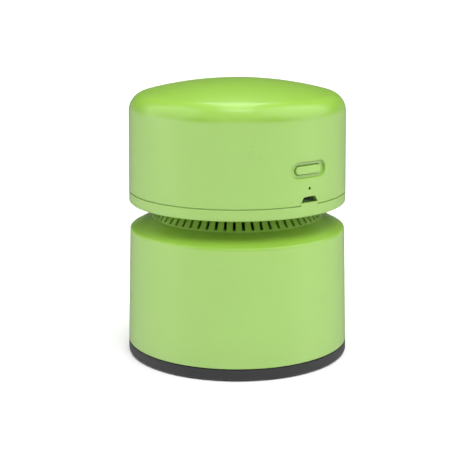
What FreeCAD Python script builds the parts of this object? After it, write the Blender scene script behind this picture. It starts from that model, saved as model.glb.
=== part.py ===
# Desktop mini vacuum cleaner, modelled piece by piece in millimetres.
# The origin is on the table under the middle of the cleaner, +Z is up,
# and the button, the lamp and the charging port are at the front, towards -Y.
import FreeCAD, Part
import math
import os

V = FreeCAD.Vector

# Outside form, from the table up
foot_gap = 0.4
base_ring_height = 4.5
cup_radius = 44.05
cup_wall_height = 46.0
cup_draft = 1.3
shoulder_run = 8.55
shoulder_rise = 4.45
shoulder_round = 1.2
neck_run = 4.6
neck_rise = 5.95
head_set_in = 1.05
skirt_height = 4.7
skirt_round = 0.9
head_wall_height = 31.1
head_draft = 0.4
crown_round = 7.5
dome_radius = 143.0

# Walls, fits and fastener holes
cup_wall = 2.0
head_wall = 2.0
fit_gap = 0.15
screw_gap = 0.1
seam_height = 0.3
seam_depth = 0.5
overrun = 1.0
edge_checks = 5
arc_reach_share = 0.45

# Base plate with the suction slot
ring_round = 0.8
ring_width = 2.2
base_recess = 3.2
base_floor = 2.0
tongue_wall = 1.6
tongue_height = 3.4
inlet_length = 30.0
inlet_width = 11.0

# Dust cup
cup_lip_round = 0.3
collar_wall = 1.8
land_width = 2.2
collar_lead = 0.4
inner_round = 1.5

# Screw bosses of the cup and of the head shell
boss_radius = 3.2
boss_root = 0.5
cup_boss_count = 4
cup_boss_height = 12.0
shell_boss_count = 3
shell_boss_height = 16.7

# Inlet duct
duct_wall = 1.4
duct_height = 16.0
duct_top_length = 24.0
duct_top_width = 7.0
duct_flange = 1.6
duct_flange_width = 2.0
duct_ear_radius = 3.0
duct_ear_height = 4.0

# Brush strips beside the suction slot
brush_length = 38.0
brush_bar_width = 3.2
brush_bar_height = 1.4
brush_groove = 1.0
brush_margin = 1.5
tuft_count = 13
tuft_radius = 0.8
tuft_lift = 0.2

# Glide pads
pad_radius = 3.5
pad_recess = 1.0
pad_rim = 0.8

# Screws: shank radius, head radius and head height of each kind
base_screw_shank = 1.1
base_screw_head = 1.95
base_screw_head_height = 1.4
duct_screw_shank = 1.0
duct_screw_head = 1.8
duct_screw_head_height = 1.2
shell_screw_shank = 1.1
shell_screw_head = 2.0
shell_screw_head_height = 0.9
fan_screw_shank = 1.0
fan_screw_head = 1.8
fan_screw_head_height = 1.3
motor_screw_shank = 1.2
motor_screw_head = 2.2
motor_screw_head_height = 1.1
cradle_screw_shank = 0.9
cradle_screw_head = 1.7
cradle_screw_head_height = 1.1
screw_bite = 8.0
short_screw_bite = 3.0

# Exhaust grille and the fan plate with its spigot
grille_wall = 1.6
grille_foot = 0.6
slot_count = 60
slot_width = 1.1
slot_phase_share = 0.19
slot_top_margin = 0.4
hub_step = 1.35
hub_wall = 1.65
post_count = 3
post_radius = 1.95
plate_thickness = 1.6
plate_lap = 1.1
fan_eye_radius = 12.0
fan_eye_round = 0.7
spigot_length = 6.6
spigot_gap = 0.4
spigot_wall = 2.2
seal_section = 1.4
seal_stand = 0.25
seal_height = 2.7

# Impeller
impeller_gap = 1.15
impeller_disc = 1.2
impeller_head_gap = 0.9
blade_height = 4.3
blade_thickness = 1.0
blade_count = 9
hub_radius = 3.4
blade_root_radius = 8.0
blade_tip_margin = 0.7
blade_sweep_share = 0.18
blade_bow_share = 0.33

# Filter
filter_length = 10.0
filter_flange = 1.6
filter_plug = 4.0
filter_wall = 2.75
filter_cap = 1.5
filter_bar_count = 6
filter_bar_width = 1.8
filter_bar_depth = 1.4
pleat_count = 40
pleat_depth = 5.3
pleat_cover = 1.6

# Head base
head_floor = 2.0
lip_wall = 1.65
lip_height = 5.1
mount_lap = 4.6

# Motor with its mount
mount_thickness = 2.0
mount_boss_radius = 2.4
mount_boss_height = 1.6
motor_radius = 12.2
motor_can_length = 26.6
motor_can_wall = 0.8
motor_boss_radius = 3.1
motor_screw_offset = 8.0
magnet_thickness = 2.3
magnet_gap = 7.0
magnet_overhang = 0.5
armature_air_gap = 0.5
armature_lift = 4.2
armature_pole_count = 3
armature_slot = 1.8
commutator_radius = 3.0
commutator_length = 4.6
commutator_gap = 0.5
shaft_radius = 1.0
shaft_gap = 0.05
bush_radius = 2.3
bush_length = 2.6
end_cap_plug = 2.0
end_cap_flange = 2.5
end_boss_height = 1.7
terminal_length = 3.5
terminal_width = 2.2
terminal_thickness = 0.4
terminal_offset = 6.0

# Battery cell and its cradle
cell_radius = 7.0
cell_gap = 0.8
cell_end_gap = 6.25
cell_lift = 1.6
cell_button_radius = 2.8
cell_button_height = 0.8
cradle_floor = 1.2
cradle_floor_width = 8.0
cradle_end = 3.0
cradle_rib = 3.0
cradle_rib_share = 0.49
cradle_arm = 1.4
cradle_arm_rise = 3.0

# Control board and what it carries
board_width = 32.0
board_height = 26.0
board_thickness = 1.2
rail_wall = 1.4
rail_depth = 1.0
rail_gap = 0.1
rail_start = 4.0
rail_length = 20.0
socket_depth = 5.1
socket_gap = 0.2
socket_wall = 0.25
socket_inset = 0.1
tongue_width = 3.8
tongue_thickness = 0.6
tongue_set_back = 0.8
switch_size = 6.0
switch_depth = 3.5
switch_bore_depth = 1.4
plunger_radius = 1.6
plunger_reach = 0.5
plunger_gap = 0.1
led_width = 2.0
led_height = 1.25
led_depth = 0.8
pipe_radius = 0.5
pipe_gap = 0.05
pipe_set_back = 0.5
lead_radius = 0.6
lead_wall_stand = 9.6
lead_rise = 19.9
lead_exit = 6.4
lead_hump = 1.6
lead_edge = 3.2

# Charging port in the head wall, measured above the seam
port_rise = 0.85
port_width = 7.6
port_top_width = 5.3
port_height = 2.3
port_side_height = 0.7
port_round = 0.35
tab_width = 8.6
tab_gap = 0.1
led_rise = 6.15

# Power button in its dish, measured above the seam
button_rise = 13.15
dish_length = 16.6
dish_height = 5.9
dish_depth = 0.9
dish_draft = 0.5
button_length = 12.5
button_height = 3.2
button_gap = 0.2
button_set_in = 0.1
button_round = 0.4
button_flange = 0.8
button_flange_margin = 1.0
button_stop_gap = 0.13

# Levels worked out from the sizes above
ring_bottom = foot_gap
ring_top = ring_bottom + base_ring_height
base_floor_bottom = ring_bottom + base_recess
base_floor_top = base_floor_bottom + base_floor
shoulder_z = ring_top + cup_wall_height
mouth_z = shoulder_z + shoulder_rise
head_z = mouth_z + neck_rise
head_floor_top = head_z + head_floor
mount_top = head_floor_top + mount_thickness
seam_z = head_z + skirt_height
crown_z = seam_z + head_wall_height
plate_bottom = mouth_z - plate_thickness
spigot_bottom = plate_bottom - spigot_length
impeller_top = head_floor_top - impeller_head_gap
impeller_disc_bottom = impeller_top - impeller_disc
blade_bottom = impeller_disc_bottom - blade_height
filter_flange_bottom = spigot_bottom - filter_flange
filter_cap_top = filter_flange_bottom - filter_length
filter_bottom = filter_cap_top - filter_cap
motor_top = mount_top + motor_can_length
commutator_top = motor_top - end_cap_plug - motor_can_wall
commutator_bottom = commutator_top - commutator_length
armature_bottom = mount_top + armature_lift
armature_top = commutator_bottom - commutator_gap
cradle_top = mount_top + cradle_floor
cell_z = cradle_top + cell_lift + cell_radius
port_z = seam_z + port_rise
led_z = seam_z + led_rise
button_z = seam_z + button_rise

# Radii worked out from the sizes above
head_radius = cup_radius - head_set_in
head_lean = math.atan2(head_draft, head_wall_height)
lamp_wall_radius = head_radius - led_rise * math.tan(head_lean)
button_wall_radius = head_radius - button_rise * math.tan(head_lean)
cup_inner = cup_radius - cup_wall
cup_top_radius = cup_radius - cup_draft
cup_top_inner = cup_top_radius - cup_wall
head_inner = head_radius - head_wall
ring_inner = cup_radius - ring_width
neck_radius = cup_top_radius - shoulder_run
neck_top_radius = neck_radius - neck_run
collar_bore = neck_radius - land_width
spigot_radius = collar_bore - spigot_gap
spigot_inner = spigot_radius - spigot_wall
seal_radius = spigot_radius + seal_stand - seal_section / 2
grille_hub = neck_top_radius - hub_step
post_circle = grille_hub - post_radius
base_hole = grille_hub + fit_gap
mount_radius = base_hole + mount_lap
impeller_radius = post_circle - post_radius - impeller_gap
lip_outer = head_inner - fit_gap
lip_inner = lip_outer - lip_wall
cup_boss_circle = cup_inner + boss_root - boss_radius
shell_boss_circle = head_inner + boss_root - boss_radius
filter_plug_radius = spigot_inner - fit_gap
filter_inner = filter_plug_radius - filter_wall
can_inner = motor_radius - motor_can_wall
magnet_inner = can_inner - magnet_thickness
armature_radius = magnet_inner - armature_air_gap
cell_y = motor_radius + cell_gap + cell_radius
cell_reach = math.sqrt(head_inner ** 2 - (cell_y + cell_radius) ** 2)
cell_length = 2 * (cell_reach - cell_end_gap)
brush_y = inlet_width / 2 + brush_margin + brush_bar_width / 2
duct_ear_x = inlet_length / 2 + duct_wall + duct_flange_width + duct_ear_radius - boss_root
socket_mouth = math.sqrt(head_inner ** 2 - (port_width / 2) ** 2) - socket_gap
board_front = socket_mouth - socket_depth
board_back = board_front - board_thickness
button_back = button_wall_radius - head_wall - button_stop_gap - button_flange
plunger_front = math.sqrt(button_back ** 2 - plunger_radius ** 2)


def cylinder(radius, bottom, top, x=0, y=0):
    """Upright cylinder between two heights."""
    return Part.makeCylinder(radius, top - bottom, V(x, y, bottom))


def tube(inner, outer, bottom, top):
    """Upright tube about the middle axis."""
    return cylinder(outer, bottom, top).cut(cylinder(inner, bottom, top))


def block(x_range, y_range, z_range):
    """Box between two places along each axis."""
    size = [high - low for low, high in (x_range, y_range, z_range)]
    return Part.makeBox(size[0], size[1], size[2], V(x_range[0], y_range[0], z_range[0]))


def around(count, radius, turn_share=0):
    """Places on a circle about the middle axis, starting a share of a turn past +X."""
    turns = [2 * math.pi * (turn_share + step / count) for step in range(count)]
    return [(radius * math.cos(turn), radius * math.sin(turn)) for turn in turns]


def group(solids):
    """Several separate solids kept as one piece."""
    return Part.makeCompound(solids)


def outline(corners, place):
    """Closed wire through corners (u, v, round), with an arc where a round is given."""
    edges = []
    ends = []
    for index, (u, v, bend) in enumerate(corners):
        here = place(u, v)
        before = place(corners[index - 1][0], corners[index - 1][1]) - here
        following = corners[(index + 1) % len(corners)]
        after = place(following[0], following[1]) - here
        if bend == 0:
            ends.append((here, here))
            continue
        half = before.getAngle(after) / 2
        reach = min(bend / math.tan(half), min(before.Length, after.Length) * arc_reach_share)
        radius = reach * math.tan(half)
        start = here + V(before).normalize() * reach
        end = here + V(after).normalize() * reach
        inward = (V(before).normalize() + V(after).normalize()).normalize()
        middle = here + inward * (radius / math.sin(half) - radius)
        edges.append(Part.Arc(start, middle, end).toShape())
        ends.append((start, end))
    for index in range(len(ends)):
        leaves = ends[index - 1][1]
        arrives = ends[index][0]
        edges.append(Part.LineSegment(leaves, arrives).toShape())
    return Part.Wire(Part.__sortEdges__(edges))


def turned(corners):
    """Solid of revolution from a half profile of (radius, height, round)."""
    face = Part.Face(outline(corners, lambda radius, height: V(radius, 0, height)))
    return face.revolve(V(0, 0, 0), V(0, 0, 1), 360)


def racetrack(length, width, place):
    """Flat slot outline with round ends, lying along its first direction."""
    straight = (length - width) / 2
    bend = width / 2
    right = Part.Arc(place(straight, -bend), place(straight + bend, 0), place(straight, bend)).toShape()
    left = Part.Arc(place(-straight, bend), place(-straight - bend, 0), place(-straight, -bend)).toShape()
    top = Part.LineSegment(place(straight, bend), place(-straight, bend)).toShape()
    bottom = Part.LineSegment(place(-straight, -bend), place(straight, -bend)).toShape()
    return Part.Wire([right, top, left, bottom])


def level_racetrack(length, width, height):
    """Slot outline lying flat at a height."""
    return racetrack(length, width, lambda u, v: V(u, v, height))


def slot_block(length, width, bottom, top):
    """Upright block with the slot outline."""
    return Part.Face(level_racetrack(length, width, bottom)).extrude(V(0, 0, top - bottom))


def front_racetrack(length, width, depth):
    """Slot outline standing at the front, centred on the button."""
    return racetrack(length, width, lambda u, v: V(u, -depth, button_z + v))


def screw(shank, head, height, seat, tip, x, y):
    """Pan head screw with a slot, pointing from its seat to its tip along Z."""
    outside = seat - height if tip > seat else seat + height
    body = cylinder(shank, min(seat, tip), max(seat, tip), x, y)
    cap = cylinder(head, min(seat, outside), max(seat, outside), x, y)
    bit = shank / 2
    middle = (seat + outside) / 2
    depth = (outside - overrun, middle) if outside < seat else (middle, outside + overrun)
    slot = block((x - head, x + head), (y - bit / 2, y + bit / 2), depth)
    return body.fuse(cap).cut(slot).removeSplitter()


def domed_body(inset):
    """Solid above the seam under the head's outer surface, set in by a wall."""
    bend = crown_round - inset
    dome = dome_radius - inset
    hub = head_radius - head_draft - crown_round / math.cos(head_lean)
    drop = math.sqrt((dome_radius - crown_round) ** 2 - hub ** 2)
    dome_centre = crown_z - drop
    rise = math.atan2(drop, hub)
    tilt = math.atan2(hub, drop)
    half_rise = (head_lean + rise) / 2
    foot = V(0, 0, seam_z)
    edge = V(head_radius - inset / math.cos(head_lean), 0, seam_z)
    shoulder = V(hub + bend * math.cos(head_lean), 0, crown_z + bend * math.sin(head_lean))
    half_bend = V(hub + bend * math.cos(half_rise), 0, crown_z + bend * math.sin(half_rise))
    join = V(hub + bend * math.cos(rise), 0, crown_z + bend * math.sin(rise))
    half_dome = V(dome * math.sin(tilt / 2), 0, dome_centre + dome * math.cos(tilt / 2))
    apex = V(0, 0, dome_centre + dome)
    edges = [
        Part.LineSegment(foot, edge).toShape(),
        Part.LineSegment(edge, shoulder).toShape(),
        Part.Arc(shoulder, half_bend, join).toShape(),
        Part.Arc(join, half_dome, apex).toShape(),
        Part.LineSegment(apex, foot).toShape(),
    ]
    return Part.Face(Part.Wire(edges)).revolve(V(0, 0, 0), V(0, 0, 1), 360)


def cup_seats():
    """The four places of the base screws, the pads and the cup's bosses."""
    return around(cup_boss_count, cup_boss_circle, 1 / (2 * cup_boss_count))


def shell_seats():
    """The three places of the head shell's bosses and screws, one at the back."""
    return around(shell_boss_count, shell_boss_circle, 1 / 4)


def dust_cup():
    """Lower shell: wall, sloping shoulder, collar for the head and four screw bosses."""
    slope = shoulder_rise / shoulder_run
    drop = cup_wall * math.sqrt(slope ** 2 + 1)
    collar_outer = collar_bore + collar_wall
    under_wall = shoulder_z + cup_wall * slope - drop
    under_collar = shoulder_z + (cup_top_radius - collar_outer) * slope - drop
    shell = turned([
        (cup_inner, ring_top, 0),
        (cup_radius, ring_top, cup_lip_round),
        (cup_top_radius, shoulder_z, shoulder_round),
        (neck_radius, mouth_z, 0),
        (collar_bore, mouth_z, collar_lead),
        (collar_bore, spigot_bottom, 0),
        (collar_outer, spigot_bottom, 0),
        (collar_outer, under_collar, inner_round),
        (cup_top_inner, under_wall, inner_round),
    ])
    top = base_floor_top + cup_boss_height
    for x, y in cup_seats():
        shell = shell.fuse(cylinder(boss_radius, base_floor_top, top, x, y))
    for x, y in cup_seats():
        shell = shell.cut(cylinder(base_screw_shank, base_floor_top, base_floor_top + screw_bite, x, y))
    return shell.removeSplitter()


def base_plate():
    """Dark bottom with its ring, recessed floor, suction slot and pad seats."""
    tongue_top = base_floor_top + tongue_height
    tongue_outer = cup_inner - cup_draft * (tongue_top - ring_top) / cup_wall_height - fit_gap
    tongue_inner = tongue_outer - tongue_wall
    seam_radius = cup_radius - seam_depth
    plate = turned([
        (0, base_floor_bottom, 0),
        (ring_inner, base_floor_bottom, 0),
        (ring_inner, ring_bottom, 0),
        (cup_radius, ring_bottom, ring_round),
        (cup_radius, ring_top - seam_height, 0),
        (seam_radius, ring_top - seam_height, 0),
        (seam_radius, ring_top, 0),
        (tongue_outer, ring_top, 0),
        (tongue_outer, tongue_top, 0),
        (tongue_inner, tongue_top, 0),
        (tongue_inner, base_floor_top, 0),
        (0, base_floor_top, 0),
    ])
    seat_limit = cylinder(cup_radius - ring_round, ring_bottom, base_floor_top)
    seat_radius = pad_radius + screw_gap
    pad_top = ring_bottom + pad_recess
    head_top = pad_top + base_screw_head_height
    for x, y in cup_seats():
        boss = cylinder(seat_radius + pad_rim, ring_bottom, base_floor_bottom, x, y)
        plate = plate.fuse(boss.common(seat_limit))
    for x, y in cup_seats():
        plate = plate.cut(cylinder(seat_radius, ring_bottom, pad_top, x, y))
        plate = plate.cut(cylinder(base_screw_head + screw_gap, pad_top, head_top, x, y))
        plate = plate.cut(cylinder(base_screw_shank + screw_gap, pad_top, base_floor_top, x, y))
        plate = plate.cut(cylinder(boss_radius + fit_gap, base_floor_top, tongue_top, x, y))
    plate = plate.cut(slot_block(inlet_length, inlet_width, base_floor_bottom, base_floor_top))
    groove_top = base_floor_bottom + brush_groove
    for side in (-1, 1):
        reach = brush_bar_width / 2 + fit_gap
        y_range = (side * brush_y - reach, side * brush_y + reach)
        x_range = (-brush_length / 2 - fit_gap, brush_length / 2 + fit_gap)
        plate = plate.cut(block(x_range, y_range, (base_floor_bottom, groove_top)))
        hole = cylinder(duct_screw_shank + screw_gap, base_floor_bottom, base_floor_top, side * duct_ear_x)
        plate = plate.cut(hole)
    return plate.removeSplitter()


def inlet_duct():
    """Tapering funnel above the suction slot, which keeps the dust in the cup."""
    bottom = base_floor_top
    top = bottom + duct_height
    both = 2 * duct_wall
    outer_foot = level_racetrack(inlet_length + both, inlet_width + both, bottom)
    outer_head = level_racetrack(duct_top_length + both, duct_top_width + both, top)
    inner_foot = level_racetrack(inlet_length, inlet_width, bottom)
    inner_head = level_racetrack(duct_top_length, duct_top_width, top)
    duct = Part.makeLoft([outer_foot, outer_head], True, True)
    rim = both + 2 * duct_flange_width
    duct = duct.fuse(slot_block(inlet_length + rim, inlet_width + rim, bottom, bottom + duct_flange))
    for side in (-1, 1):
        ear = cylinder(duct_ear_radius, bottom, bottom + duct_ear_height, side * duct_ear_x)
        duct = duct.fuse(ear)
    duct = duct.cut(Part.makeLoft([inner_foot, inner_head], True, True))
    for side in (-1, 1):
        duct = duct.cut(cylinder(duct_screw_shank, bottom, bottom + short_screw_bite, side * duct_ear_x))
    return duct.removeSplitter()


def duct_screws():
    """Two screws that hold the duct from below."""
    tip = base_floor_top + short_screw_bite
    sizes = (duct_screw_shank, duct_screw_head, duct_screw_head_height)
    return group([screw(*sizes, base_floor_bottom, tip, side * duct_ear_x, 0) for side in (-1, 1)])


def brush_backing():
    """Two plastic bars that hold the brush tufts, pressed into grooves."""
    top = base_floor_bottom + brush_groove
    half = brush_length / 2
    reach = brush_bar_width / 2
    bars = []
    for side in (-1, 1):
        y_range = (side * brush_y - reach, side * brush_y + reach)
        bars.append(block((-half, half), y_range, (top - brush_bar_height, top)))
    return group(bars)


def brush_bristles():
    """Tufts of bristle, two rows beside the suction slot."""
    top = base_floor_bottom + brush_groove - brush_bar_height
    pitch = brush_length / tuft_count
    tufts = []
    for side in (-1, 1):
        for step in range(tuft_count):
            x = (step + 0.5) * pitch - brush_length / 2
            tufts.append(cylinder(tuft_radius, tuft_lift, top, x, side * brush_y))
    return group(tufts)


def glide_pads():
    """Four soft pads under the base, which cover its screws."""
    return group([cylinder(pad_radius, 0, ring_bottom + pad_recess, x, y) for x, y in cup_seats()])


def base_screws():
    """Four screws from the base plate into the cup."""
    seat = ring_bottom + pad_recess + base_screw_head_height
    tip = base_floor_top + screw_bite
    sizes = (base_screw_shank, base_screw_head, base_screw_head_height)
    return group([screw(*sizes, seat, tip, x, y) for x, y in cup_seats()])


def port_face(inset, depth):
    """Charging port outline, wide below and narrow above, at the front."""
    low = port_z + inset
    high = port_z + port_height - inset
    half = port_width / 2 - inset
    top_half = port_top_width / 2 - inset
    side = port_z + port_side_height
    corners = [
        (-half, low, port_round),
        (half, low, port_round),
        (half, side, port_round),
        (top_half, high, port_round),
        (-top_half, high, port_round),
        (-half, side, port_round),
    ]
    return Part.Face(outline(corners, lambda u, v: V(u, -depth, v)))


def board_rails():
    """Two grooved ribs inside the head wall that hold the board's edges."""
    bottom = seam_z + rail_start
    z_range = (bottom, bottom + rail_length)
    rails = []
    for side in (-1, 1):
        near = side * (board_width / 2 - rail_depth)
        far = side * (board_width / 2 + rail_gap + rail_wall)
        x_range = (min(near, far), max(near, far))
        y_range = (-board_front - rail_gap - rail_wall, -board_back + rail_gap + rail_wall)
        rails.append(block(x_range, (-head_inner - boss_root, y_range[1]), z_range))
    body = rails[0].fuse(rails[1]).common(cylinder(head_inner + boss_root, bottom, bottom + rail_length))
    half = board_width / 2 + rail_gap
    groove = block((-half, half), (-board_front - rail_gap, -board_back + rail_gap), z_range)
    return body.cut(groove)


def head_shell():
    """Upper shell with its dome, button dish, lamp hole, port and screw bosses."""
    shell = domed_body(0).cut(domed_body(head_wall))
    shell = shell.fuse(board_rails())
    below_seam = tube(lip_outer, head_radius, head_floor_top, seam_z)
    for x, y in shell_seats():
        boss = cylinder(boss_radius, head_floor_top, head_floor_top + shell_boss_height, x, y)
        shell = shell.fuse(boss.cut(below_seam))
    for x, y in shell_seats():
        shell = shell.cut(cylinder(shell_screw_shank, head_floor_top, head_floor_top + screw_bite, x, y))
    floor = button_wall_radius - dish_depth
    front = head_radius + overrun
    spread = dish_draft * (front - floor) / dish_depth
    wide = front_racetrack(dish_length + spread, dish_height + spread, front)
    narrow = front_racetrack(dish_length - dish_draft, dish_height - dish_draft, floor - dish_depth)
    dish = Part.makeLoft([narrow, wide], True, True)
    shell = shell.cut(dish.cut(cylinder(floor, seam_z, crown_z)))
    both = 2 * button_gap
    through = front_racetrack(button_length + both, button_height + both, front)
    shell = shell.cut(Part.Face(through).extrude(V(0, dish_length, 0)))
    shell = shell.cut(port_face(0, front).extrude(V(0, port_width, 0)))
    tab_half = tab_width / 2 + tab_gap
    notch = block((-tab_half, tab_half), (-front, -head_inner + overrun), (seam_z, port_z + tab_gap))
    shell = shell.cut(notch)
    reach = front - head_inner + overrun
    lamp = Part.makeCylinder(pipe_radius + pipe_gap, reach, V(0, -front, led_z), V(0, 1, 0))
    return shell.cut(lamp).removeSplitter()


def head_base():
    """Underside of the head: floor, skirt up to the seam and locating lip."""
    seam_radius = head_radius - seam_depth
    base = turned([
        (base_hole, head_z, 0),
        (head_radius, head_z, skirt_round),
        (head_radius, seam_z - seam_height, 0),
        (seam_radius, seam_z - seam_height, 0),
        (seam_radius, seam_z, 0),
        (head_inner, seam_z, 0),
        (lip_outer, seam_z, 0),
        (lip_outer, head_floor_top + lip_height, 0),
        (lip_inner, head_floor_top + lip_height, 0),
        (lip_inner, head_floor_top, 0),
        (base_hole, head_floor_top, 0),
    ])
    half = tab_width / 2
    tab_ring = tube(head_inner - boss_root, head_radius, seam_z - seam_height, port_z)
    tab_room = block((-half, half), (-head_radius, 0), (seam_z - seam_height, port_z))
    base = base.fuse(tab_ring.common(tab_room))
    lip_top = head_floor_top + lip_height
    sunk = head_z + shell_screw_head_height
    for x, y in shell_seats():
        room = cylinder(boss_radius + fit_gap, head_floor_top, lip_top, x, y)
        base = base.cut(room.common(cylinder(lip_outer, head_floor_top, lip_top)))
        base = base.cut(cylinder(shell_screw_head + screw_gap, head_z, sunk, x, y))
        base = base.cut(cylinder(shell_screw_shank + screw_gap, head_z, head_floor_top, x, y))
    board_half = board_width / 2 + fit_gap
    room = block((-board_half, board_half), (-lip_outer, -board_back), (head_floor_top, lip_top))
    room = room.cut(tab_ring)
    base = base.cut(room.common(cylinder(lip_outer, head_floor_top, lip_top)))
    for x, y in cradle_screw_places():
        base = base.cut(cylinder(cradle_screw_shank, head_z + screw_gap, head_floor_top, x, y))
    return base.removeSplitter()


def exhaust_grille():
    """Slotted neck that the air leaves through, with three screw posts."""
    spread = grille_wall * math.sqrt(neck_run ** 2 + neck_rise ** 2) / neck_rise
    foot_top = mouth_z + grille_foot
    foot_inner = neck_radius - spread - grille_foot * neck_run / neck_rise
    hub_inner = grille_hub - hub_wall
    cone = turned([
        (spigot_radius - plate_lap, mouth_z, 0),
        (neck_radius, mouth_z, 0),
        (neck_top_radius, head_z, 0),
        (grille_hub, head_z, 0),
        (grille_hub, head_floor_top, 0),
        (hub_inner, head_floor_top, 0),
        (hub_inner, head_z, 0),
        (neck_top_radius - spread, head_z, 0),
        (foot_inner, foot_top, 0),
        (spigot_radius - plate_lap, foot_top, 0),
    ])
    half = slot_width / 2
    slots = []
    for step in range(slot_count):
        x_range = (hub_inner, neck_radius + overrun)
        slot = block(x_range, (-half, half), (foot_top, head_z - slot_top_margin))
        slot.rotate(V(0, 0, 0), V(0, 0, 1), 360 * ((step + slot_phase_share) / slot_count - 1 / 4))
        slots.append(slot)
    cone = cone.cut(slots)
    for x, y in post_places():
        cone = cone.fuse(cylinder(post_radius, mouth_z, head_floor_top, x, y))
    for x, y in post_places():
        cone = cone.cut(cylinder(fan_screw_shank + screw_gap, mouth_z, head_floor_top, x, y))
    return cone.removeSplitter()


def post_places():
    """The three screw posts, clear of the battery."""
    return around(post_count, post_circle, 1 / (4 * post_count))


def fan_inlet_plate():
    """Plate under the fan with its round eye and the spigot that plugs into the cup."""
    groove_low = spigot_bottom + seal_height - seal_section / 2 - screw_gap
    groove_high = groove_low + seal_section + 2 * screw_gap
    groove_radius = seal_radius - seal_section / 2
    plate = turned([
        (fan_eye_radius, plate_bottom, fan_eye_round),
        (spigot_inner, plate_bottom, 0),
        (spigot_inner, spigot_bottom, 0),
        (spigot_radius, spigot_bottom, collar_lead),
        (spigot_radius, groove_low, 0),
        (groove_radius, groove_low, 0),
        (groove_radius, groove_high, 0),
        (spigot_radius, groove_high, 0),
        (spigot_radius, mouth_z, 0),
        (fan_eye_radius, mouth_z, fan_eye_round),
    ])
    for x, y in post_places():
        plate = plate.cut(cylinder(fan_screw_shank + screw_gap, plate_bottom, mouth_z, x, y))
    return plate.removeSplitter()


def seal_ring():
    """Rubber ring in the spigot's groove."""
    return Part.makeTorus(seal_radius, seal_section / 2, V(0, 0, spigot_bottom + seal_height))


def fan_screws():
    """Three long screws through the fan plate and the posts into the motor mount."""
    tip = mount_top + mount_boss_height
    sizes = (fan_screw_shank, fan_screw_head, fan_screw_head_height)
    return group([screw(*sizes, plate_bottom, tip, x, y) for x, y in post_places()])


def motor_mount():
    """Round plate above the fan that carries the motor."""
    mount = cylinder(mount_radius, head_floor_top, mount_top)
    boss_top = mount_top + mount_boss_height
    for x, y in post_places():
        mount = mount.fuse(cylinder(mount_boss_radius, head_floor_top, boss_top, x, y))
    for x, y in post_places():
        mount = mount.cut(cylinder(fan_screw_shank, head_floor_top, boss_top, x, y))
    mount = mount.cut(cylinder(motor_boss_radius + fit_gap, head_floor_top, mount_top))
    board_half = board_width / 2 + fit_gap
    board_room = ((-board_half, board_half), (-head_radius, -board_back + fit_gap))
    mount = mount.cut(block(*board_room, (head_floor_top, boss_top)))
    for side in (-1, 1):
        x = side * motor_screw_offset
        sunk = head_floor_top + motor_screw_head_height
        mount = mount.cut(cylinder(motor_screw_head + screw_gap, head_floor_top, sunk, x))
        mount = mount.cut(cylinder(motor_screw_shank + screw_gap, head_floor_top, mount_top, x))
    for x, y in cradle_screw_places():
        mount = mount.cut(cylinder(cradle_screw_shank, head_floor_top, mount_top, x, y))
    return mount.removeSplitter()


def motor_can():
    """Steel motor case, closed below, with its bearing boss."""
    can = cylinder(motor_radius, mount_top, motor_top)
    can = can.cut(cylinder(can_inner, mount_top + motor_can_wall, motor_top))
    can = can.fuse(cylinder(motor_boss_radius, head_floor_top, mount_top + motor_can_wall))
    can = can.cut(cylinder(bush_radius, head_floor_top, mount_top + motor_can_wall))
    for side in (-1, 1):
        x = side * motor_screw_offset
        can = can.cut(cylinder(motor_screw_shank, mount_top, mount_top + motor_can_wall, x))
    return can.removeSplitter()


def motor_magnets():
    """Two curved magnets on the inside of the motor case."""
    bottom = armature_bottom - magnet_overhang
    top = armature_top + magnet_overhang
    half = magnet_gap / 2
    ring = tube(magnet_inner, can_inner, bottom, top)
    gap = block((-motor_radius, motor_radius), (-half, half), (bottom, top))
    return group(ring.cut(gap).Solids)


def motor_bushes():
    """Two sintered bushes that the motor shaft turns in."""
    inner = shaft_radius + shaft_gap
    lower = tube(inner, bush_radius, mount_top + motor_can_wall - bush_length, mount_top + motor_can_wall)
    upper_bottom = motor_top + end_cap_flange - bush_length
    upper = tube(inner, bush_radius, upper_bottom, motor_top + end_cap_flange)
    return group([lower, upper])


def motor_end_cap():
    """Moulded end cap that closes the motor and holds its upper bush."""
    cap = cylinder(can_inner, motor_top - end_cap_plug, motor_top)
    cap = cap.fuse(cylinder(motor_radius, motor_top, motor_top + end_cap_flange))
    boss_top = motor_top + end_cap_flange + end_boss_height
    cap = cap.fuse(cylinder(motor_boss_radius, motor_top, boss_top))
    cap = cap.cut(cylinder(shaft_radius + fit_gap, motor_top - end_cap_plug, motor_top + end_cap_flange))
    bush_bottom = motor_top + end_cap_flange - bush_length
    cap = cap.cut(cylinder(bush_radius, bush_bottom, motor_top + end_cap_flange))
    return cap.removeSplitter()


def motor_terminals():
    """Two tin tabs on top of the motor."""
    bottom = motor_top + end_cap_flange
    tabs = []
    for side in (-1, 1):
        x = side * terminal_offset
        x_range = (x - terminal_width / 2, x + terminal_width / 2)
        y_range = (-terminal_offset - terminal_thickness / 2, -terminal_offset + terminal_thickness / 2)
        tabs.append(block(x_range, y_range, (bottom, bottom + terminal_length)))
    return group(tabs)


def motor_screws():
    """Two screws that hold the motor to its mount, with sunk heads."""
    seat = head_floor_top + motor_screw_head_height
    tip = mount_top + motor_can_wall + motor_screw_shank
    sizes = (motor_screw_shank, motor_screw_head, motor_screw_head_height)
    return group([screw(*sizes, seat, tip, side * motor_screw_offset, 0) for side in (-1, 1)])


def motor_shaft():
    """Steel shaft through the motor with the impeller on its lower end."""
    return cylinder(shaft_radius, blade_bottom + blade_thickness, motor_top + end_cap_flange)


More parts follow.
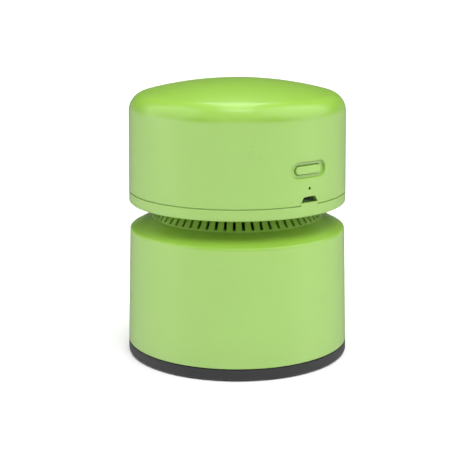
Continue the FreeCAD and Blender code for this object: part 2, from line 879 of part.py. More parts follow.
def motor_armature():
    """Three pole iron core with its windings, pressed on the shaft."""
    core = tube(shaft_radius, armature_radius, armature_bottom, armature_top)
    for step in range(armature_pole_count):
        half = armature_slot / 2
        x_range = (armature_radius / 2, motor_radius)
        slot = block(x_range, (-half, half), (armature_bottom, armature_top))
        slot.rotate(V(0, 0, 0), V(0, 0, 1), 360 * step / armature_pole_count)
        core = core.cut(slot)
    return core


def motor_commutator():
    """Copper commutator above the armature."""
    return tube(shaft_radius, commutator_radius, commutator_bottom, commutator_top)


def impeller_blade():
    """One blade, curved back from the hub to the rim."""
    tip = impeller_radius - blade_tip_margin
    sweep = 2 * math.pi * blade_sweep_share
    middle = (blade_root_radius + tip) / 2
    half = blade_thickness / 2
    rows = ((blade_root_radius, 0), (middle, sweep * blade_bow_share), (tip, sweep))
    line = [V(radius * math.cos(turn), radius * math.sin(turn), blade_bottom) for radius, turn in rows]
    bow = Part.Arc(line[0], line[1], line[2]).toShape().Curve
    near = [bow.Center + (point - bow.Center) * (1 - half / bow.Radius) for point in line]
    far = [bow.Center + (point - bow.Center) * (1 + half / bow.Radius) for point in line]
    edges = [
        Part.Arc(near[0], near[1], near[2]).toShape(),
        Part.LineSegment(near[2], far[2]).toShape(),
        Part.Arc(far[2], far[1], far[0]).toShape(),
        Part.LineSegment(far[0], near[0]).toShape(),
    ]
    return Part.Face(Part.Wire(edges)).extrude(V(0, 0, blade_height + impeller_disc / 2))


def impeller():
    """Fan wheel with its disc above and nine swept blades below."""
    wheel = cylinder(impeller_radius, impeller_disc_bottom, impeller_top)
    wheel = wheel.fuse(cylinder(hub_radius, blade_bottom + blade_thickness, impeller_top))
    blade = impeller_blade()
    for step in range(blade_count):
        copy = blade.copy()
        copy.rotate(V(0, 0, 0), V(0, 0, 1), 360 * step / blade_count)
        wheel = wheel.fuse(copy)
    wheel = wheel.cut(cylinder(shaft_radius, blade_bottom, impeller_top))
    return wheel.removeSplitter()


def filter_frame():
    """Plug, stop flange, cage bars and bottom cap of the filter."""
    bar_outer = filter_inner + filter_bar_depth
    frame = tube(filter_inner, filter_plug_radius, spigot_bottom, spigot_bottom + filter_plug)
    frame = frame.fuse(tube(filter_inner, spigot_radius - screw_gap, filter_flange_bottom, spigot_bottom))
    frame = frame.fuse(cylinder(bar_outer, filter_bottom, filter_cap_top))
    half = filter_bar_width / 2
    for step in range(filter_bar_count):
        x_range = (filter_inner, bar_outer)
        bar = block(x_range, (-half, half), (filter_bottom, filter_flange_bottom + filter_flange))
        bar.rotate(V(0, 0, 0), V(0, 0, 1), 360 * step / filter_bar_count)
        frame = frame.fuse(bar.common(cylinder(bar_outer, filter_bottom, spigot_bottom)))
    return frame.removeSplitter()


def filter_media():
    """Pleated filter ring between the flange and the cap."""
    def zigzag(outer):
        places = []
        for step in range(2 * pleat_count):
            radius = outer if step % 2 else outer - pleat_depth
            turn = math.pi * step / pleat_count
            places.append(V(radius * math.cos(turn), radius * math.sin(turn), filter_cap_top))
        return Part.Face(Part.makePolygon(places + places[:1]))

    outer = filter_inner - fit_gap
    ring = zigzag(outer).cut(zigzag(outer - pleat_cover))
    return ring.extrude(V(0, 0, filter_length)).Solids[0]


def cradle_screw_places():
    """Under the cell, where the motor mount lies on the head floor."""
    radius = (mount_radius + base_hole) / 2
    x = math.sqrt(radius ** 2 - cell_y ** 2)
    return [(-x, cell_y), (x, cell_y)]


def battery_cell():
    """Round lithium cell lying behind the motor, its raised end at +X."""
    half = cell_length / 2
    centre = V(-half, cell_y, cell_z)
    body = Part.makeCylinder(cell_radius, cell_length - cell_button_height, centre, V(1, 0, 0))
    button = Part.makeCylinder(cell_button_radius, cell_length, centre, V(1, 0, 0))
    return body.fuse(button).removeSplitter()


def battery_cradle():
    """Saddle with two ribs that the cell snaps into."""
    reach = max(x for x, y in cradle_screw_places()) + cradle_end
    half = cradle_floor_width / 2
    cradle = block((-reach, reach), (cell_y - half, cell_y + half), (mount_top, cradle_top))
    arm = cell_radius + fit_gap + cradle_arm
    for side in (-1, 1):
        x = side * cradle_rib_share * cell_length / 2
        x_range = (x - cradle_rib / 2, x + cradle_rib / 2)
        rib = block(x_range, (cell_y - half, cell_y + half), (mount_top, cell_z))
        wrap = Part.makeCylinder(arm, cradle_rib, V(x_range[0], cell_y, cell_z), V(1, 0, 0))
        top = cell_z + cradle_arm_rise
        limit = block(x_range, (cell_y - arm, cell_y + arm), (mount_top, top))
        cradle = cradle.fuse(rib).fuse(wrap.common(limit))
    room = Part.makeCylinder(cell_radius, 2 * reach, V(-reach, cell_y, cell_z), V(1, 0, 0))
    cradle = cradle.cut(room)
    for x, y in post_places():
        cradle = cradle.cut(cylinder(mount_boss_radius + fit_gap, mount_top, cradle_top, x, y))
    for x, y in cradle_screw_places():
        cradle = cradle.cut(cylinder(cradle_screw_shank + screw_gap, mount_top, cradle_top, x, y))
    return cradle.removeSplitter()


def cradle_screws():
    """Two short screws under the cell."""
    tip = head_z + screw_gap
    sizes = (cradle_screw_shank, cradle_screw_head, cradle_screw_head_height)
    return group([screw(*sizes, cradle_top, tip, x, y) for x, y in cradle_screw_places()])


def control_board():
    """Upright circuit board behind the button and the port."""
    half = board_width / 2
    z_range = (head_floor_top, head_floor_top + board_height)
    return block((-half, half), (-board_front, -board_back), z_range)


def usb_socket():
    """Metal case of the charging socket, open to the front."""
    case = port_face(socket_inset, socket_mouth).extrude(V(0, socket_depth, 0))
    room = port_face(socket_inset + socket_wall, socket_mouth).extrude(V(0, socket_depth - socket_wall, 0))
    return case.cut(room).removeSplitter()


def usb_tongue():
    """Plastic tongue with the contacts, inside the charging socket."""
    middle = port_z + port_height / 2
    half = tongue_width / 2
    z_range = (middle, middle + tongue_thickness)
    y_range = (-socket_mouth + tongue_set_back, -board_front - socket_wall)
    return block((-half, half), y_range, z_range)


def tact_switch():
    """Small click switch on the board behind the button."""
    half = switch_size / 2
    front = board_front + switch_depth
    z_range = (button_z - half, button_z + half)
    body = block((-half, half), (-front, -board_front), z_range)
    mouth = V(0, -front, button_z)
    bore = Part.makeCylinder(plunger_radius + plunger_gap, switch_bore_depth, mouth, V(0, 1, 0))
    return body.cut(bore)


def switch_plunger():
    """Plunger of the click switch, pushed by the button."""
    front = board_front + switch_depth
    length = plunger_front - front + plunger_reach
    return Part.makeCylinder(plunger_radius, length, V(0, -plunger_front, button_z), V(0, 1, 0))


def power_button():
    """Button cap that follows the head wall, with a flange that keeps it in."""
    front = button_wall_radius - button_set_in
    cap = Part.Face(front_racetrack(button_length, button_height, head_radius)).extrude(V(0, dish_length, 0))
    bottom = button_z - dish_height
    top = button_z + dish_height
    cap = cap.common(tube(button_back, front, bottom, top))
    rim = [edge for edge in cap.Edges if edge.BoundBox.YMax < -head_inner - button_round]
    front_rim = [edge for edge in rim if on_front(edge, front)]
    cap = cap.makeFillet(button_round, front_rim)
    margin = 2 * button_flange_margin
    flange = Part.Face(front_racetrack(button_length + margin, button_height + margin, head_radius))
    flange = flange.extrude(V(0, dish_length, 0))
    flange = flange.common(tube(button_back, button_back + button_flange, bottom, top))
    back = flange.fuse(cap)
    start = button_back + button_flange
    pad = Part.makeCylinder(plunger_radius, start - plunger_front, V(0, -start, button_z), V(0, 1, 0))
    return back.fuse(pad).removeSplitter()


def on_front(edge, radius):
    """Whether an edge lies on the cap's outer face."""
    points = edge.discretize(edge_checks)
    return all(abs(math.hypot(point.x, point.y) - radius) < button_gap for point in points)


def status_led():
    """Lamp chip on the board behind the light pipe."""
    front = board_front + led_depth
    z_range = (led_z - led_height / 2, led_z + led_height / 2)
    return block((-led_width / 2, led_width / 2), (-front, -board_front), z_range)


def light_pipe():
    """Clear rod from the lamp to the hole in the head wall."""
    start = board_front + led_depth
    end = lamp_wall_radius - pipe_set_back
    return Part.makeCylinder(pipe_radius, end - start, V(0, -end, led_z), V(0, 1, 0))


def board_parts():
    """Chips, coil and capacitors on the back of the board."""
    # Each row is a part's centre and size: across, height, depth, as shares of the board.
    part_shares = (
        (-0.22, 0.52, 0.16, 0.19, 0.060),
        (0.00, 0.55, 0.16, 0.15, 0.060),
        (0.24, 0.48, 0.19, 0.23, 0.110),
        (-0.10, 0.30, 0.05, 0.08, 0.040),
        (0.06, 0.30, 0.05, 0.08, 0.040),
        (-0.28, 0.30, 0.10, 0.08, 0.050),
        (0.26, 0.24, 0.05, 0.10, 0.040),
    )
    parts = []
    for across, up, wide, tall, deep in part_shares:
        x = across * board_width
        z = head_floor_top + up * board_height
        half_wide = wide * board_width / 2
        half_tall = tall * board_height / 2
        y_range = (-board_back, -board_back + deep * board_height)
        parts.append(block((x - half_wide, x + half_wide), y_range, (z - half_tall, z + half_tall)))
    return group(parts)


def lead(points):
    """Insulated wire along straight runs joined by tangent arcs."""
    edges = []
    leaves = points[0]
    radii = []
    for before, here, after in zip(points, points[1:], points[2:]):
        back = before - here
        onward = after - here
        half = back.getAngle(onward) / 2
        reach = min(back.Length, onward.Length) * arc_reach_share
        radius = reach * math.tan(half)
        radii.append(radius)
        start = here + V(back).normalize() * reach
        end = here + V(onward).normalize() * reach
        inward = (V(back).normalize() + V(onward).normalize()).normalize()
        middle = here + inward * (radius / math.sin(half) - radius)
        edges.append(Part.LineSegment(leaves, start).toShape())
        edges.append(Part.Arc(start, middle, end).toShape())
        leaves = end
    edges.append(Part.LineSegment(leaves, points[-1]).toShape())
    path = Part.Wire(edges)
    section = Part.Wire(Part.makeCircle(lead_radius, points[0], points[1] - points[0]))
    solid = path.makePipeShell([section], True, True)
    expected = math.pi * lead_radius ** 2 * path.Length
    print("lead length", round(path.Length, 1), "least bend", round(min(radii), 2),
          "volume share", round(solid.Volume / expected, 4))
    return solid


def battery_leads():
    """Two wires from the cell's ends round the sides to the board."""
    end = cell_length / 2
    side_x = head_inner - lead_wall_stand
    high = head_floor_top + lead_rise
    board_x = board_width / 4
    points = [
        (end, cell_y, cell_z),
        (end + cell_radius / 2, cell_y, cell_z),
        (side_x, cell_y / 2, cell_z + cell_radius / 2),
        (side_x, -cell_y / 4, high),
        ((side_x + board_x) / 2, -(cell_y + board_back) / 2, high + lead_hump),
        (board_x, -board_back + lead_exit, high),
        (board_x, -board_back, high),
    ]
    leads = []
    for side in (-1, 1):
        leads.append(lead([V(side * x, y, z) for x, y, z in points]))
    return group(leads)


def motor_leads():
    """Two wires from the motor's tabs over to the top of the board."""
    start_y = -terminal_offset - terminal_thickness / 2
    start_z = motor_top + end_cap_flange + terminal_length / 2
    end_x = board_width / 8
    end_z = head_floor_top + board_height - lead_edge
    middle_y = (start_y - board_back) / 2
    points = [
        (terminal_offset, start_y, start_z),
        (terminal_offset, start_y - lead_exit / 2, start_z),
        ((terminal_offset + end_x) / 2, middle_y, start_z + lead_hump),
        (end_x, -board_back + lead_exit, (start_z + end_z + lead_hump) / 2),
        (end_x, -board_back + lead_exit / 2, end_z),
        (end_x, -board_back, end_z),
    ]
    leads = []
    for side in (-1, 1):
        leads.append(lead([V(side * x, y, z) for x, y, z in points]))
    return group(leads)


def shell_screws():
    """Three screws from under the head into the shell's bosses."""
    seat = head_z + shell_screw_head_height
    tip = head_floor_top + screw_bite
    sizes = (shell_screw_shank, shell_screw_head, shell_screw_head_height)
    return group([screw(*sizes, seat, tip, x, y) for x, y in shell_seats()])


PIECES = (
    dust_cup, base_plate, inlet_duct, duct_screws, brush_backing, brush_bristles, glide_pads,
    base_screws, head_shell, head_base, shell_screws, exhaust_grille, fan_inlet_plate, seal_ring,
    fan_screws, motor_mount, motor_can, motor_magnets, motor_bushes, motor_end_cap,
    motor_terminals, motor_screws, motor_shaft, motor_armature, motor_commutator, impeller,
    filter_frame, filter_media, battery_cell, battery_cradle, cradle_screws, control_board,
    usb_socket, usb_tongue, tact_switch, switch_plunger, power_button, status_led, light_pipe,
    board_parts, battery_leads, motor_leads,
)

os.makedirs("parts", exist_ok=True)
for piece in PIECES:
    shape = piece()
    shape.exportStep("parts/" + piece.__name__ + ".step")
    print(piece.__name__, len(shape.Solids), "solids", round(shape.Volume, 1), "mm3", shape.isValid())
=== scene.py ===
import bpy
import bmesh
import math
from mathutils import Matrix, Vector


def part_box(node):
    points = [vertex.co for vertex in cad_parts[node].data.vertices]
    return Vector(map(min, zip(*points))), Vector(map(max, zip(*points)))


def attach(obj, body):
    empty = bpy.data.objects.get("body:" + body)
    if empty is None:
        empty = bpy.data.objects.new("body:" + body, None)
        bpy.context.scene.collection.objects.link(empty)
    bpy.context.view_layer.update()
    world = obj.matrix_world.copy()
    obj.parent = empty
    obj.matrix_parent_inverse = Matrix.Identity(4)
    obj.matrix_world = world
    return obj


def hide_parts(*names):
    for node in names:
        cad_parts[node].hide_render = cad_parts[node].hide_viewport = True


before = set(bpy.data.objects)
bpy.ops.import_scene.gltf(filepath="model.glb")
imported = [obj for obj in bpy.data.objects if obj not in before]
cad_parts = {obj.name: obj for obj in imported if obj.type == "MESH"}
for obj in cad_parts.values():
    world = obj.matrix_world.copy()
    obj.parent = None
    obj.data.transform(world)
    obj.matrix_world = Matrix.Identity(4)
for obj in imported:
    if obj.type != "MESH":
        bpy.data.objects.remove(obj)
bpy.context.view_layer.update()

# Head shell: the domed cover, moulded in glossy green plastic with a 2 mm wall.
# A shallow pill-shaped dish in front holds the button. Under it are the pinhole of the lamp
# and the charging port, which the mould leaves open to the parting line.
mm = 0.001
axis = 0.0005
head_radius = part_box("head_shell")[1].x / mm
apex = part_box("head_shell")[1].z / mm
seam = 66.0
crown = 97.1
head_lean = math.atan2(0.4, crown - seam)
crown_round = 7.5
dome_radius = 143.0
head_wall = 2.0
seam_edge = 0.12
columns = 480

port_columns = 13
port_rows_top = 70.2
notch_half = 4.4
notch_top = 66.95
port_half = 3.8
port_top_half = 2.65
port_bottom = 66.85
port_side_top = 67.55
port_top = 69.15
port_round = 0.35
port_top_round = 0.65

lamp_columns = 5
lamp_rows_top = 74.0
lamp_height = 72.15
lamp_radius = 0.55

dish_columns = 23
dish_rows_top = 84.3
dish_height = 79.15
dish_straight = 5.35
dish_bend = 3.13
dish_depth = 0.9
hole_straight = 4.65
hole_bend = 1.8

boss_radius = 3.2
boss_bore = 1.1
boss_reach = 38.3
boss_bottom = 63.3
boss_top = 80.0
boss_hole = 8.0
hole_axis = 0.001


def new_object(name, data):
    """A mesh, lamp or camera as an object of the scene."""
    thing = bpy.data.objects.new(name, data)
    bpy.context.scene.collection.objects.link(thing)
    return thing


def smooth(data, sharp):
    """Smooth shading for a mesh, but for edges sharper than that angle in degrees."""
    data.shade_smooth()
    data.set_sharp_from_angle(angle=math.radians(sharp))


class Skin:
    """A mesh made of strips of faces between rows of points, in millimetres."""

    def __init__(self):
        self.mesh = bmesh.new()

    def strip(self, rows, closed=False, leave_out=()):
        """Faces between neighbouring rows; (row, column) cells in leave_out stay open."""
        corners = [[self.mesh.verts.new(Vector(point) * mm) for point in row] for row in rows]
        count = len(rows[0])
        for row in range(len(rows) - 1):
            for column in range(count if closed else count - 1):
                if (row, column) in leave_out:
                    continue
                after = (column + 1) % count
                self.mesh.faces.new((corners[row][column], corners[row][after],
                                     corners[row + 1][after], corners[row + 1][column]))

    def lathe(self, profile, count, centre=(0, 0)):
        """Ring of faces about an upright axis, from a closed profile of (radius, height)."""
        turns = [2 * math.pi * step / count for step in range(count)]
        rows = []
        for radius, height in profile + profile[:1]:
            rows.append([(centre[0] + radius * math.sin(turn), centre[1] - radius * math.cos(turn), height)
                         for turn in turns])
        self.strip(rows, closed=True)

    def finish(self, name, sharp=35):
        """The object, with equal corners merged, faces turned outwards and smooth shading."""
        bmesh.ops.remove_doubles(self.mesh, verts=self.mesh.verts, dist=0.002 * mm)
        bmesh.ops.recalc_face_normals(self.mesh, faces=self.mesh.faces)
        data = bpy.data.meshes.new(name)
        self.mesh.to_mesh(data)
        self.mesh.free()
        smooth(data, sharp)
        return new_object(name, data)


def steps(start, end, count):
    """Evenly spaced values after start, up to end."""
    return [start + (end - start) * (step + 1) / count for step in range(count)]


def arc(centre, radius, start, end, count):
    """Points of (radius, height) along an arc between two angles in degrees, ends included."""
    angles = [math.radians(start + (end - start) * step / count) for step in range(count + 1)]
    return [(centre[0] + radius * math.cos(angle), centre[1] + radius * math.sin(angle)) for angle in angles]


def wall_point(column, radius, height):
    """Place on an upright round wall; column 0 is in front, and columns count towards +X."""
    turn = 2 * math.pi * column / columns
    return (radius * math.sin(turn), -radius * math.cos(turn), height)


def front_point(across, height, radius):
    """Place on a round wall in front, by its distance from the middle plane."""
    return (across, -math.sqrt(radius ** 2 - across ** 2), height)


def outside(height):
    """Radius of the shell's outer face, which leans in and has a small bevel at the parting line."""
    return head_radius - (height - seam) * math.tan(head_lean) - max(0, seam + seam_edge - height)


def inside(height):
    """Radius of the shell's inner face."""
    return head_radius - (height - seam) * math.tan(head_lean) - head_wall


def dome_profile(inset, crown_count, dome_count):
    """Crown and dome as (radius, height), from the wall up to the apex."""
    hub = outside(crown) - crown_round
    drop = math.sqrt((dome_radius - crown_round) ** 2 - hub ** 2)
    rise = math.degrees(math.atan2(drop, hub))
    bend = arc((hub, crown), crown_round - inset, math.degrees(head_lean), rise, crown_count)
    cap = arc((0, crown - drop), dome_radius - inset, rise, 90, dome_count)
    return bend[1:] + cap[1:]


def pill_rays(border, straight, height):
    """For each border point, the share of the pill's middle line it belongs to and its direction."""
    rays = []
    for across, up in border:
        share = max(-1, min(1, across / straight))
        away = Vector((across - share * straight, up - height)).normalized()
        rays.append((share, away.x, away.y))
    return rays


def pill_ring(rays, straight, bend, height):
    """Outline of a pill on those rays."""
    return [(share * straight + x * bend, height + y * bend) for share, x, y in rays]


def between(ring, other, share):
    """Outline part of the way from one to another."""
    return [(a[0] + (b[0] - a[0]) * share, a[1] + (b[1] - a[1]) * share) for a, b in zip(ring, other)]


def lay(ring, face, depth=0):
    """Outline laid on a face of the shell in front, or sunk under it."""
    return [front_point(across, height, face(height) - depth) for across, height in ring]


rows = [seam, seam + seam_edge] + steps(seam + seam_edge, port_rows_top, 8)
port_row = len(rows) - 1
rows += steps(port_rows_top, lamp_rows_top, 8)
lamp_row = len(rows) - 1
rows += steps(lamp_rows_top, dish_rows_top, 22)
dish_row = len(rows) - 1
rows += steps(dish_rows_top, crown, 8)
outer_profile = [(outside(height), height) for height in rows] + dome_profile(0, 18, 30)
inner_profile = [(inside(height), height) for height in rows] + dome_profile(head_wall, 6, 10)

shell = Skin()
windows = ((0, port_row, port_columns), (port_row, lamp_row, lamp_columns),
           (lamp_row, dish_row, dish_columns))
open_cells = set()
for low, high, reach in windows:
    open_cells |= {(row, column % columns) for row in range(low, high) for column in range(-reach, reach)}
for profile in (outer_profile, inner_profile):
    grid = [[wall_point(column, radius, height) for column in range(columns)] for radius, height in profile]
    shell.strip(grid, closed=True, leave_out=open_cells)
rim_cells = {(0, column % columns) for column in range(-port_columns, port_columns)}
rims = [[wall_point(column, face(seam), seam) for column in range(columns)] for face in (outside, inside)]
shell.strip(rims, closed=True, leave_out=rim_cells)


def window_border(low, high, reach, face, closed=True):
    """The window's border points (across, height), from its lower right corner up and round."""
    places = [(reach, row) for row in range(low, high)]
    places += [(column, high) for column in range(reach, -reach, -1)]
    places += [(-reach, row) for row in range(high, low, -1)]
    if closed:
        places += [(column, low) for column in range(-reach, reach)]
    else:
        places.append((-reach, low))
    return [(face(rows[row]) * math.sin(2 * math.pi * column / columns), rows[row]) for column, row in places]


# The dish, its floor and the button's hole
border = window_border(lamp_row, dish_row, dish_columns, outside)
inner_border = window_border(lamp_row, dish_row, dish_columns, inside)
rays = pill_rays(border, dish_straight, dish_height)
dish_margin = 0.5
rim = pill_ring(rays, dish_straight, dish_bend + dish_margin, dish_height)
dish_profile = [(0.16, 0), (0.07, 0.02), (0, 0.08), (-0.03, 0.18), (-0.17, 0.68), (-0.22, 0.8), (-0.31, 0.88),
                (-0.43, dish_depth), (-0.6, dish_depth)]
hole_profile = [(0.2, 0), (0.08, 0), (0.02, 0.03), (0, 0.1)]
skins = [lay(border, outside), lay(between(rim, border, 0.4), outside), lay(rim, outside)]
for wider, depth in dish_profile:
    skins.append(lay(pill_ring(rays, dish_straight, dish_bend + wider, dish_height), outside, depth))
for wider, depth in hole_profile:
    ring = pill_ring(rays, hole_straight, hole_bend + wider, dish_height)
    skins.append(lay(ring, outside, dish_depth + depth))
hole = pill_ring(rays, hole_straight, hole_bend, dish_height)
skins += [lay(hole, inside), lay(between(hole, inner_border, 0.5), inside), lay(inner_border, inside)]
shell.strip(skins, closed=True)

# The lamp's pinhole, a pill with no straight part
round_only = 0.0001
lamp_bevel = 0.08
border = window_border(port_row, lamp_row, lamp_columns, outside)
inner_border = window_border(port_row, lamp_row, lamp_columns, inside)
rays = pill_rays(border, round_only, lamp_height)
lamp_edge = pill_ring(rays, round_only, lamp_radius + lamp_bevel, lamp_height)
lamp_hole = pill_ring(rays, round_only, lamp_radius, lamp_height)
shell.strip([lay(border, outside), lay(between(border, lamp_edge, 0.5), outside),
             lay(between(border, lamp_edge, 0.85), outside), lay(lamp_edge, outside),
             lay(lamp_hole, outside, lamp_bevel), lay(lamp_hole, inside),
             lay(between(lamp_hole, inner_border, 0.5), inside), lay(inner_border, inside)], closed=True)


# The charging port, open to the parting line through the notch that the underside's tab fills
def corner(before, here, after, bend, count):
    """Rounded corner of an outline."""
    here = Vector(here)
    back = (Vector(before) - here).normalized()
    onward = (Vector(after) - here).normalized()
    half = back.angle(onward) / 2
    reach = bend / math.tan(half)
    centre = here + (back + onward).normalized() * bend / math.sin(half)
    start = here + back * reach - centre
    end = here + onward * reach - centre
    turn = start.angle_signed(end)
    points = []
    for step in range(count + 1):
        angle = turn * step / count
        spin = (start.x * math.cos(angle) + start.y * math.sin(angle),
                start.y * math.cos(angle) - start.x * math.sin(angle))
        points.append((centre.x + spin[0], centre.y + spin[1]))
    return points


port_points = [(0, port_bottom), (port_half, port_bottom), (port_half, port_side_top),
               (port_top_half, port_top), (0, port_top)]
low_corner = corner(*port_points[:3], port_round, 6)
low_corner = [point for point in low_corner if point[1] > notch_top]
side_corner = corner(*port_points[1:4], port_round, 3)
top_corner = corner(*port_points[2:], port_top_round, 4)
ledge_drop = port_bottom + port_round - notch_top
ledge = (port_half - port_round + math.sqrt(port_round ** 2 - ledge_drop ** 2), notch_top)
half_port = [(notch_half, seam), (notch_half, seam + seam_edge), (notch_half, notch_top), ledge]
half_port += low_corner + side_corner + top_corner
border = window_border(0, port_row, port_columns, outside, closed=False)
inner_border = window_border(0, port_row, port_columns, inside, closed=False)
spare = len(border) - 2 * len(half_port)
middle = [(top_corner[-1][0] * (1 - 2 * (step + 1) / (spare + 1)), port_top) for step in range(spare)]
port = half_port + middle + [(-across, height) for across, height in reversed(half_port)]
port_skins = [lay(border, outside), lay(between(border, port, 0.5), outside), lay(port, outside),
              lay(port, inside), lay(between(port, inner_border, 0.5), inside), lay(inner_border, inside)]
shell.strip(port_skins)
for end in (0, -1):
    shell.strip([[ring[end] for ring in port_skins[:3]], [ring[end] for ring in reversed(port_skins[3:])]])


# Screw bosses inside the shell
def around(count, radius, first):
    """Places on a circle, from a first angle in degrees counted from +X."""
    places = [math.radians(first + 360 * step / count) for step in range(count)]
    return [(radius * math.cos(turn), radius * math.sin(turn)) for turn in places]


def boss(low, high):
    """Profile of a screw boss with a blind hole from below."""
    return [(boss_bore, low), (boss_radius, low), (boss_radius, high), (hole_axis, high),
            (hole_axis, low + boss_hole), (boss_bore, low + boss_hole)]


boss_places = around(3, boss_reach, 90)
for place in boss_places:
    shell.lathe(boss(boss_bottom, boss_top), 32, place)
head_cover = shell.finish("head_cover")


class Link:
    """A socket of a material. Reckoning with it adds Math nodes to that material."""

    def __init__(self, finish, socket):
        self.finish = finish
        self.socket = socket

    def __add__(self, other):
        return self.finish.math("ADD", self, other)

    def __radd__(self, other):
        return self.finish.math("ADD", other, self)

    def __sub__(self, other):
        return self.finish.math("SUBTRACT", self, other)

    def __rsub__(self, other):
        return self.finish.math("SUBTRACT", other, self)

    def __mul__(self, other):
        return self.finish.math("MULTIPLY", self, other)

    def __rmul__(self, other):
        return self.finish.math("MULTIPLY", other, self)

    def __gt__(self, other):
        return self.finish.math("GREATER_THAN", self, other)


class Finish:
    """A material: fixed values on its shader, and nodes for what changes over the surface."""

    def __init__(self, name, fixed):
        self.material = bpy.data.materials.new(name)
        self.material.use_nodes = True
        self.tree = self.material.node_tree
        self.shader = self.tree.nodes["Principled BSDF"]
        for socket, value in fixed.items():
            self.shader.inputs[socket].default_value = value
        self.place = self.add("ShaderNodeTexCoord", {}, {}, "Object")

    def add(self, kind, settings, values, result=0):
        """A node with its settings made first, then its inputs set or linked."""
        node = self.tree.nodes.new(kind)
        for setting, value in settings.items():
            setattr(node, setting, value)
        for name, value in values.items():
            self.feed(node.inputs[name], value)
        return Link(self, node.outputs[result])

    def math(self, operation, first, second):
        """A Math node."""
        return self.add("ShaderNodeMath", {"operation": operation}, {0: first, 1: second})

    def feed(self, socket, value):
        """Sets an input, or links it."""
        if isinstance(value, Link):
            self.tree.links.new(value.socket, socket)
        else:
            socket.default_value = value

    def vary(self, **links):
        """Links to the shader's own inputs."""
        for socket, value in links.items():
            self.feed(self.shader.inputs[socket.replace("_", " ")], value)

    def noise(self, size, detail=2.0, vector=None):
        """Cloudy pattern from 0 to 1 with spots of about that size in millimetres."""
        return self.add("ShaderNodeTexNoise", {}, {"Vector": vector or self.place, "Scale": 1 / (size * mm),
                                                    "Detail": detail}, "Fac")

    def mix(self, share, first, second):
        """Colour between two."""
        return self.add("ShaderNodeMix", {"data_type": "RGBA"}, {0: share, 6: first, 7: second}, 2)

    def bump(self, height, depth):
        """Normal of a surface that rises by depth millimetres where height goes from 0 to 1."""
        return self.add("ShaderNodeBump", {}, {"Height": height, "Distance": depth * mm}, "Normal")


def dress(piece, body, slot, finish, *nodes):
    """Gives a piece its material and its body, and hides the parts that it stands for; the slot is not used.
    """
    piece.data.materials.clear()
    piece.data.materials.append(finish.material)
    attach(piece, body)
    if nodes:
        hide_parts(*nodes)


# Pigmented plastic: a trace of uneven colour, fine ripples left by the mould's polish, soft gloss
shell_green = Finish("shell_green", {"IOR": 1.5, "Coat Weight": 0.5, "Coat Roughness": 0.16, "Coat IOR": 1.7})
cloud = shell_green.noise(26, 3)
speck = shell_green.noise(0.5, 2)
tone = shell_green.mix(cloud * 0.8 + speck * 0.2, (0.178, 0.335, 0.033, 1), (0.194, 0.362, 0.039, 1))
ripple = shell_green.noise(1.6, 1) * 0.7 + shell_green.noise(0.35, 1) * 0.3
shell_green.vary(Base_Color=tone, Roughness=0.24 + cloud * 0.06 + speck * 0.04,
                 Normal=shell_green.bump(ripple, 0.006))
dress(head_cover, "head", "shell_green", shell_green, "head_shell")


# Power button: a pill-shaped cap of the same green plastic that follows the round wall.
# A flange behind the wall keeps it in, and it is pressed straight in against the click switch.
button_straight = 4.65
button_bend = 1.6
button_edge = 0.4
button_depth = 0.1
button_flange = 2.6
flange_front = 2.03
flange_back = 2.83


def even_rays(across_steps, round_steps):
    """Rays of a pill: its share of the middle line and direction, all the way round."""
    rays = []
    for side in (1, -1):
        for step in range(across_steps):
            rays.append((side * (1 - 2 * step / across_steps), 0, side))
        for step in range(round_steps):
            turn = math.radians(90 * side + 180 * step / round_steps)
            rays.append((-side, math.cos(turn), math.sin(turn)))
    return rays


rays = even_rays(24, 24)
button_rings = [(0.0, 0.0), (0.5, 0.0), (1.0, 0.0), (button_bend - button_edge - 0.08, 0.0)]
for step in range(8):
    turn = math.radians(90 * step / 7)
    inward = button_edge * (1 - math.sin(turn))
    button_rings.append((button_bend - inward, button_edge * (1 - math.cos(turn))))
button_rings += [(button_bend, 1.2), (button_bend, flange_front), (button_flange, flange_front),
                 (button_flange, flange_back), (1.0, flange_back), (0.0, flange_back)]
cap = Skin()
cap.strip([lay(pill_ring(rays, button_straight, max(bend, 0.001), dish_height), outside, button_depth + depth)
           for bend, depth in button_rings], closed=True)
button_cap = cap.finish("button_cap")
dress(button_cap, "button", "shell_green", shell_green, "power_button")


# Head underside: a turned tray in green plastic with a rounded skirt, a shallow groove at the
# parting line, and a lip that locates the cover. A raised tab closes the notch under the port.
head_bottom = 61.3
flat_ring = 36.0
skirt_round = 0.9
skirt_line = 64.2
groove_bottom = 65.7
groove_depth = 0.5
tray_hole = 28.4
tray_floor = 63.3
lip_outer = 40.85
lip_inner = 39.2
lip_top = 68.4
lip_bevel = 0.15
tab_half = 4.3
tab_top = 66.85
tab_back = 40.5
board_half = 16.15
sink_radius = 2.1
sink_depth = 0.9
screw_hole = 1.2
past = 1.0


def rounded(corners, count=6):
    """Profile with arcs at the corners (radius, height, round) that have a round."""
    points = []
    for index, (radius, height, bend) in enumerate(corners):
        if bend == 0:
            points.append((radius, height))
            continue
        before = corners[index - 1][:2]
        after = corners[(index + 1) % len(corners)][:2]
        points += corner(before, (radius, height), after, bend, count)
    return points


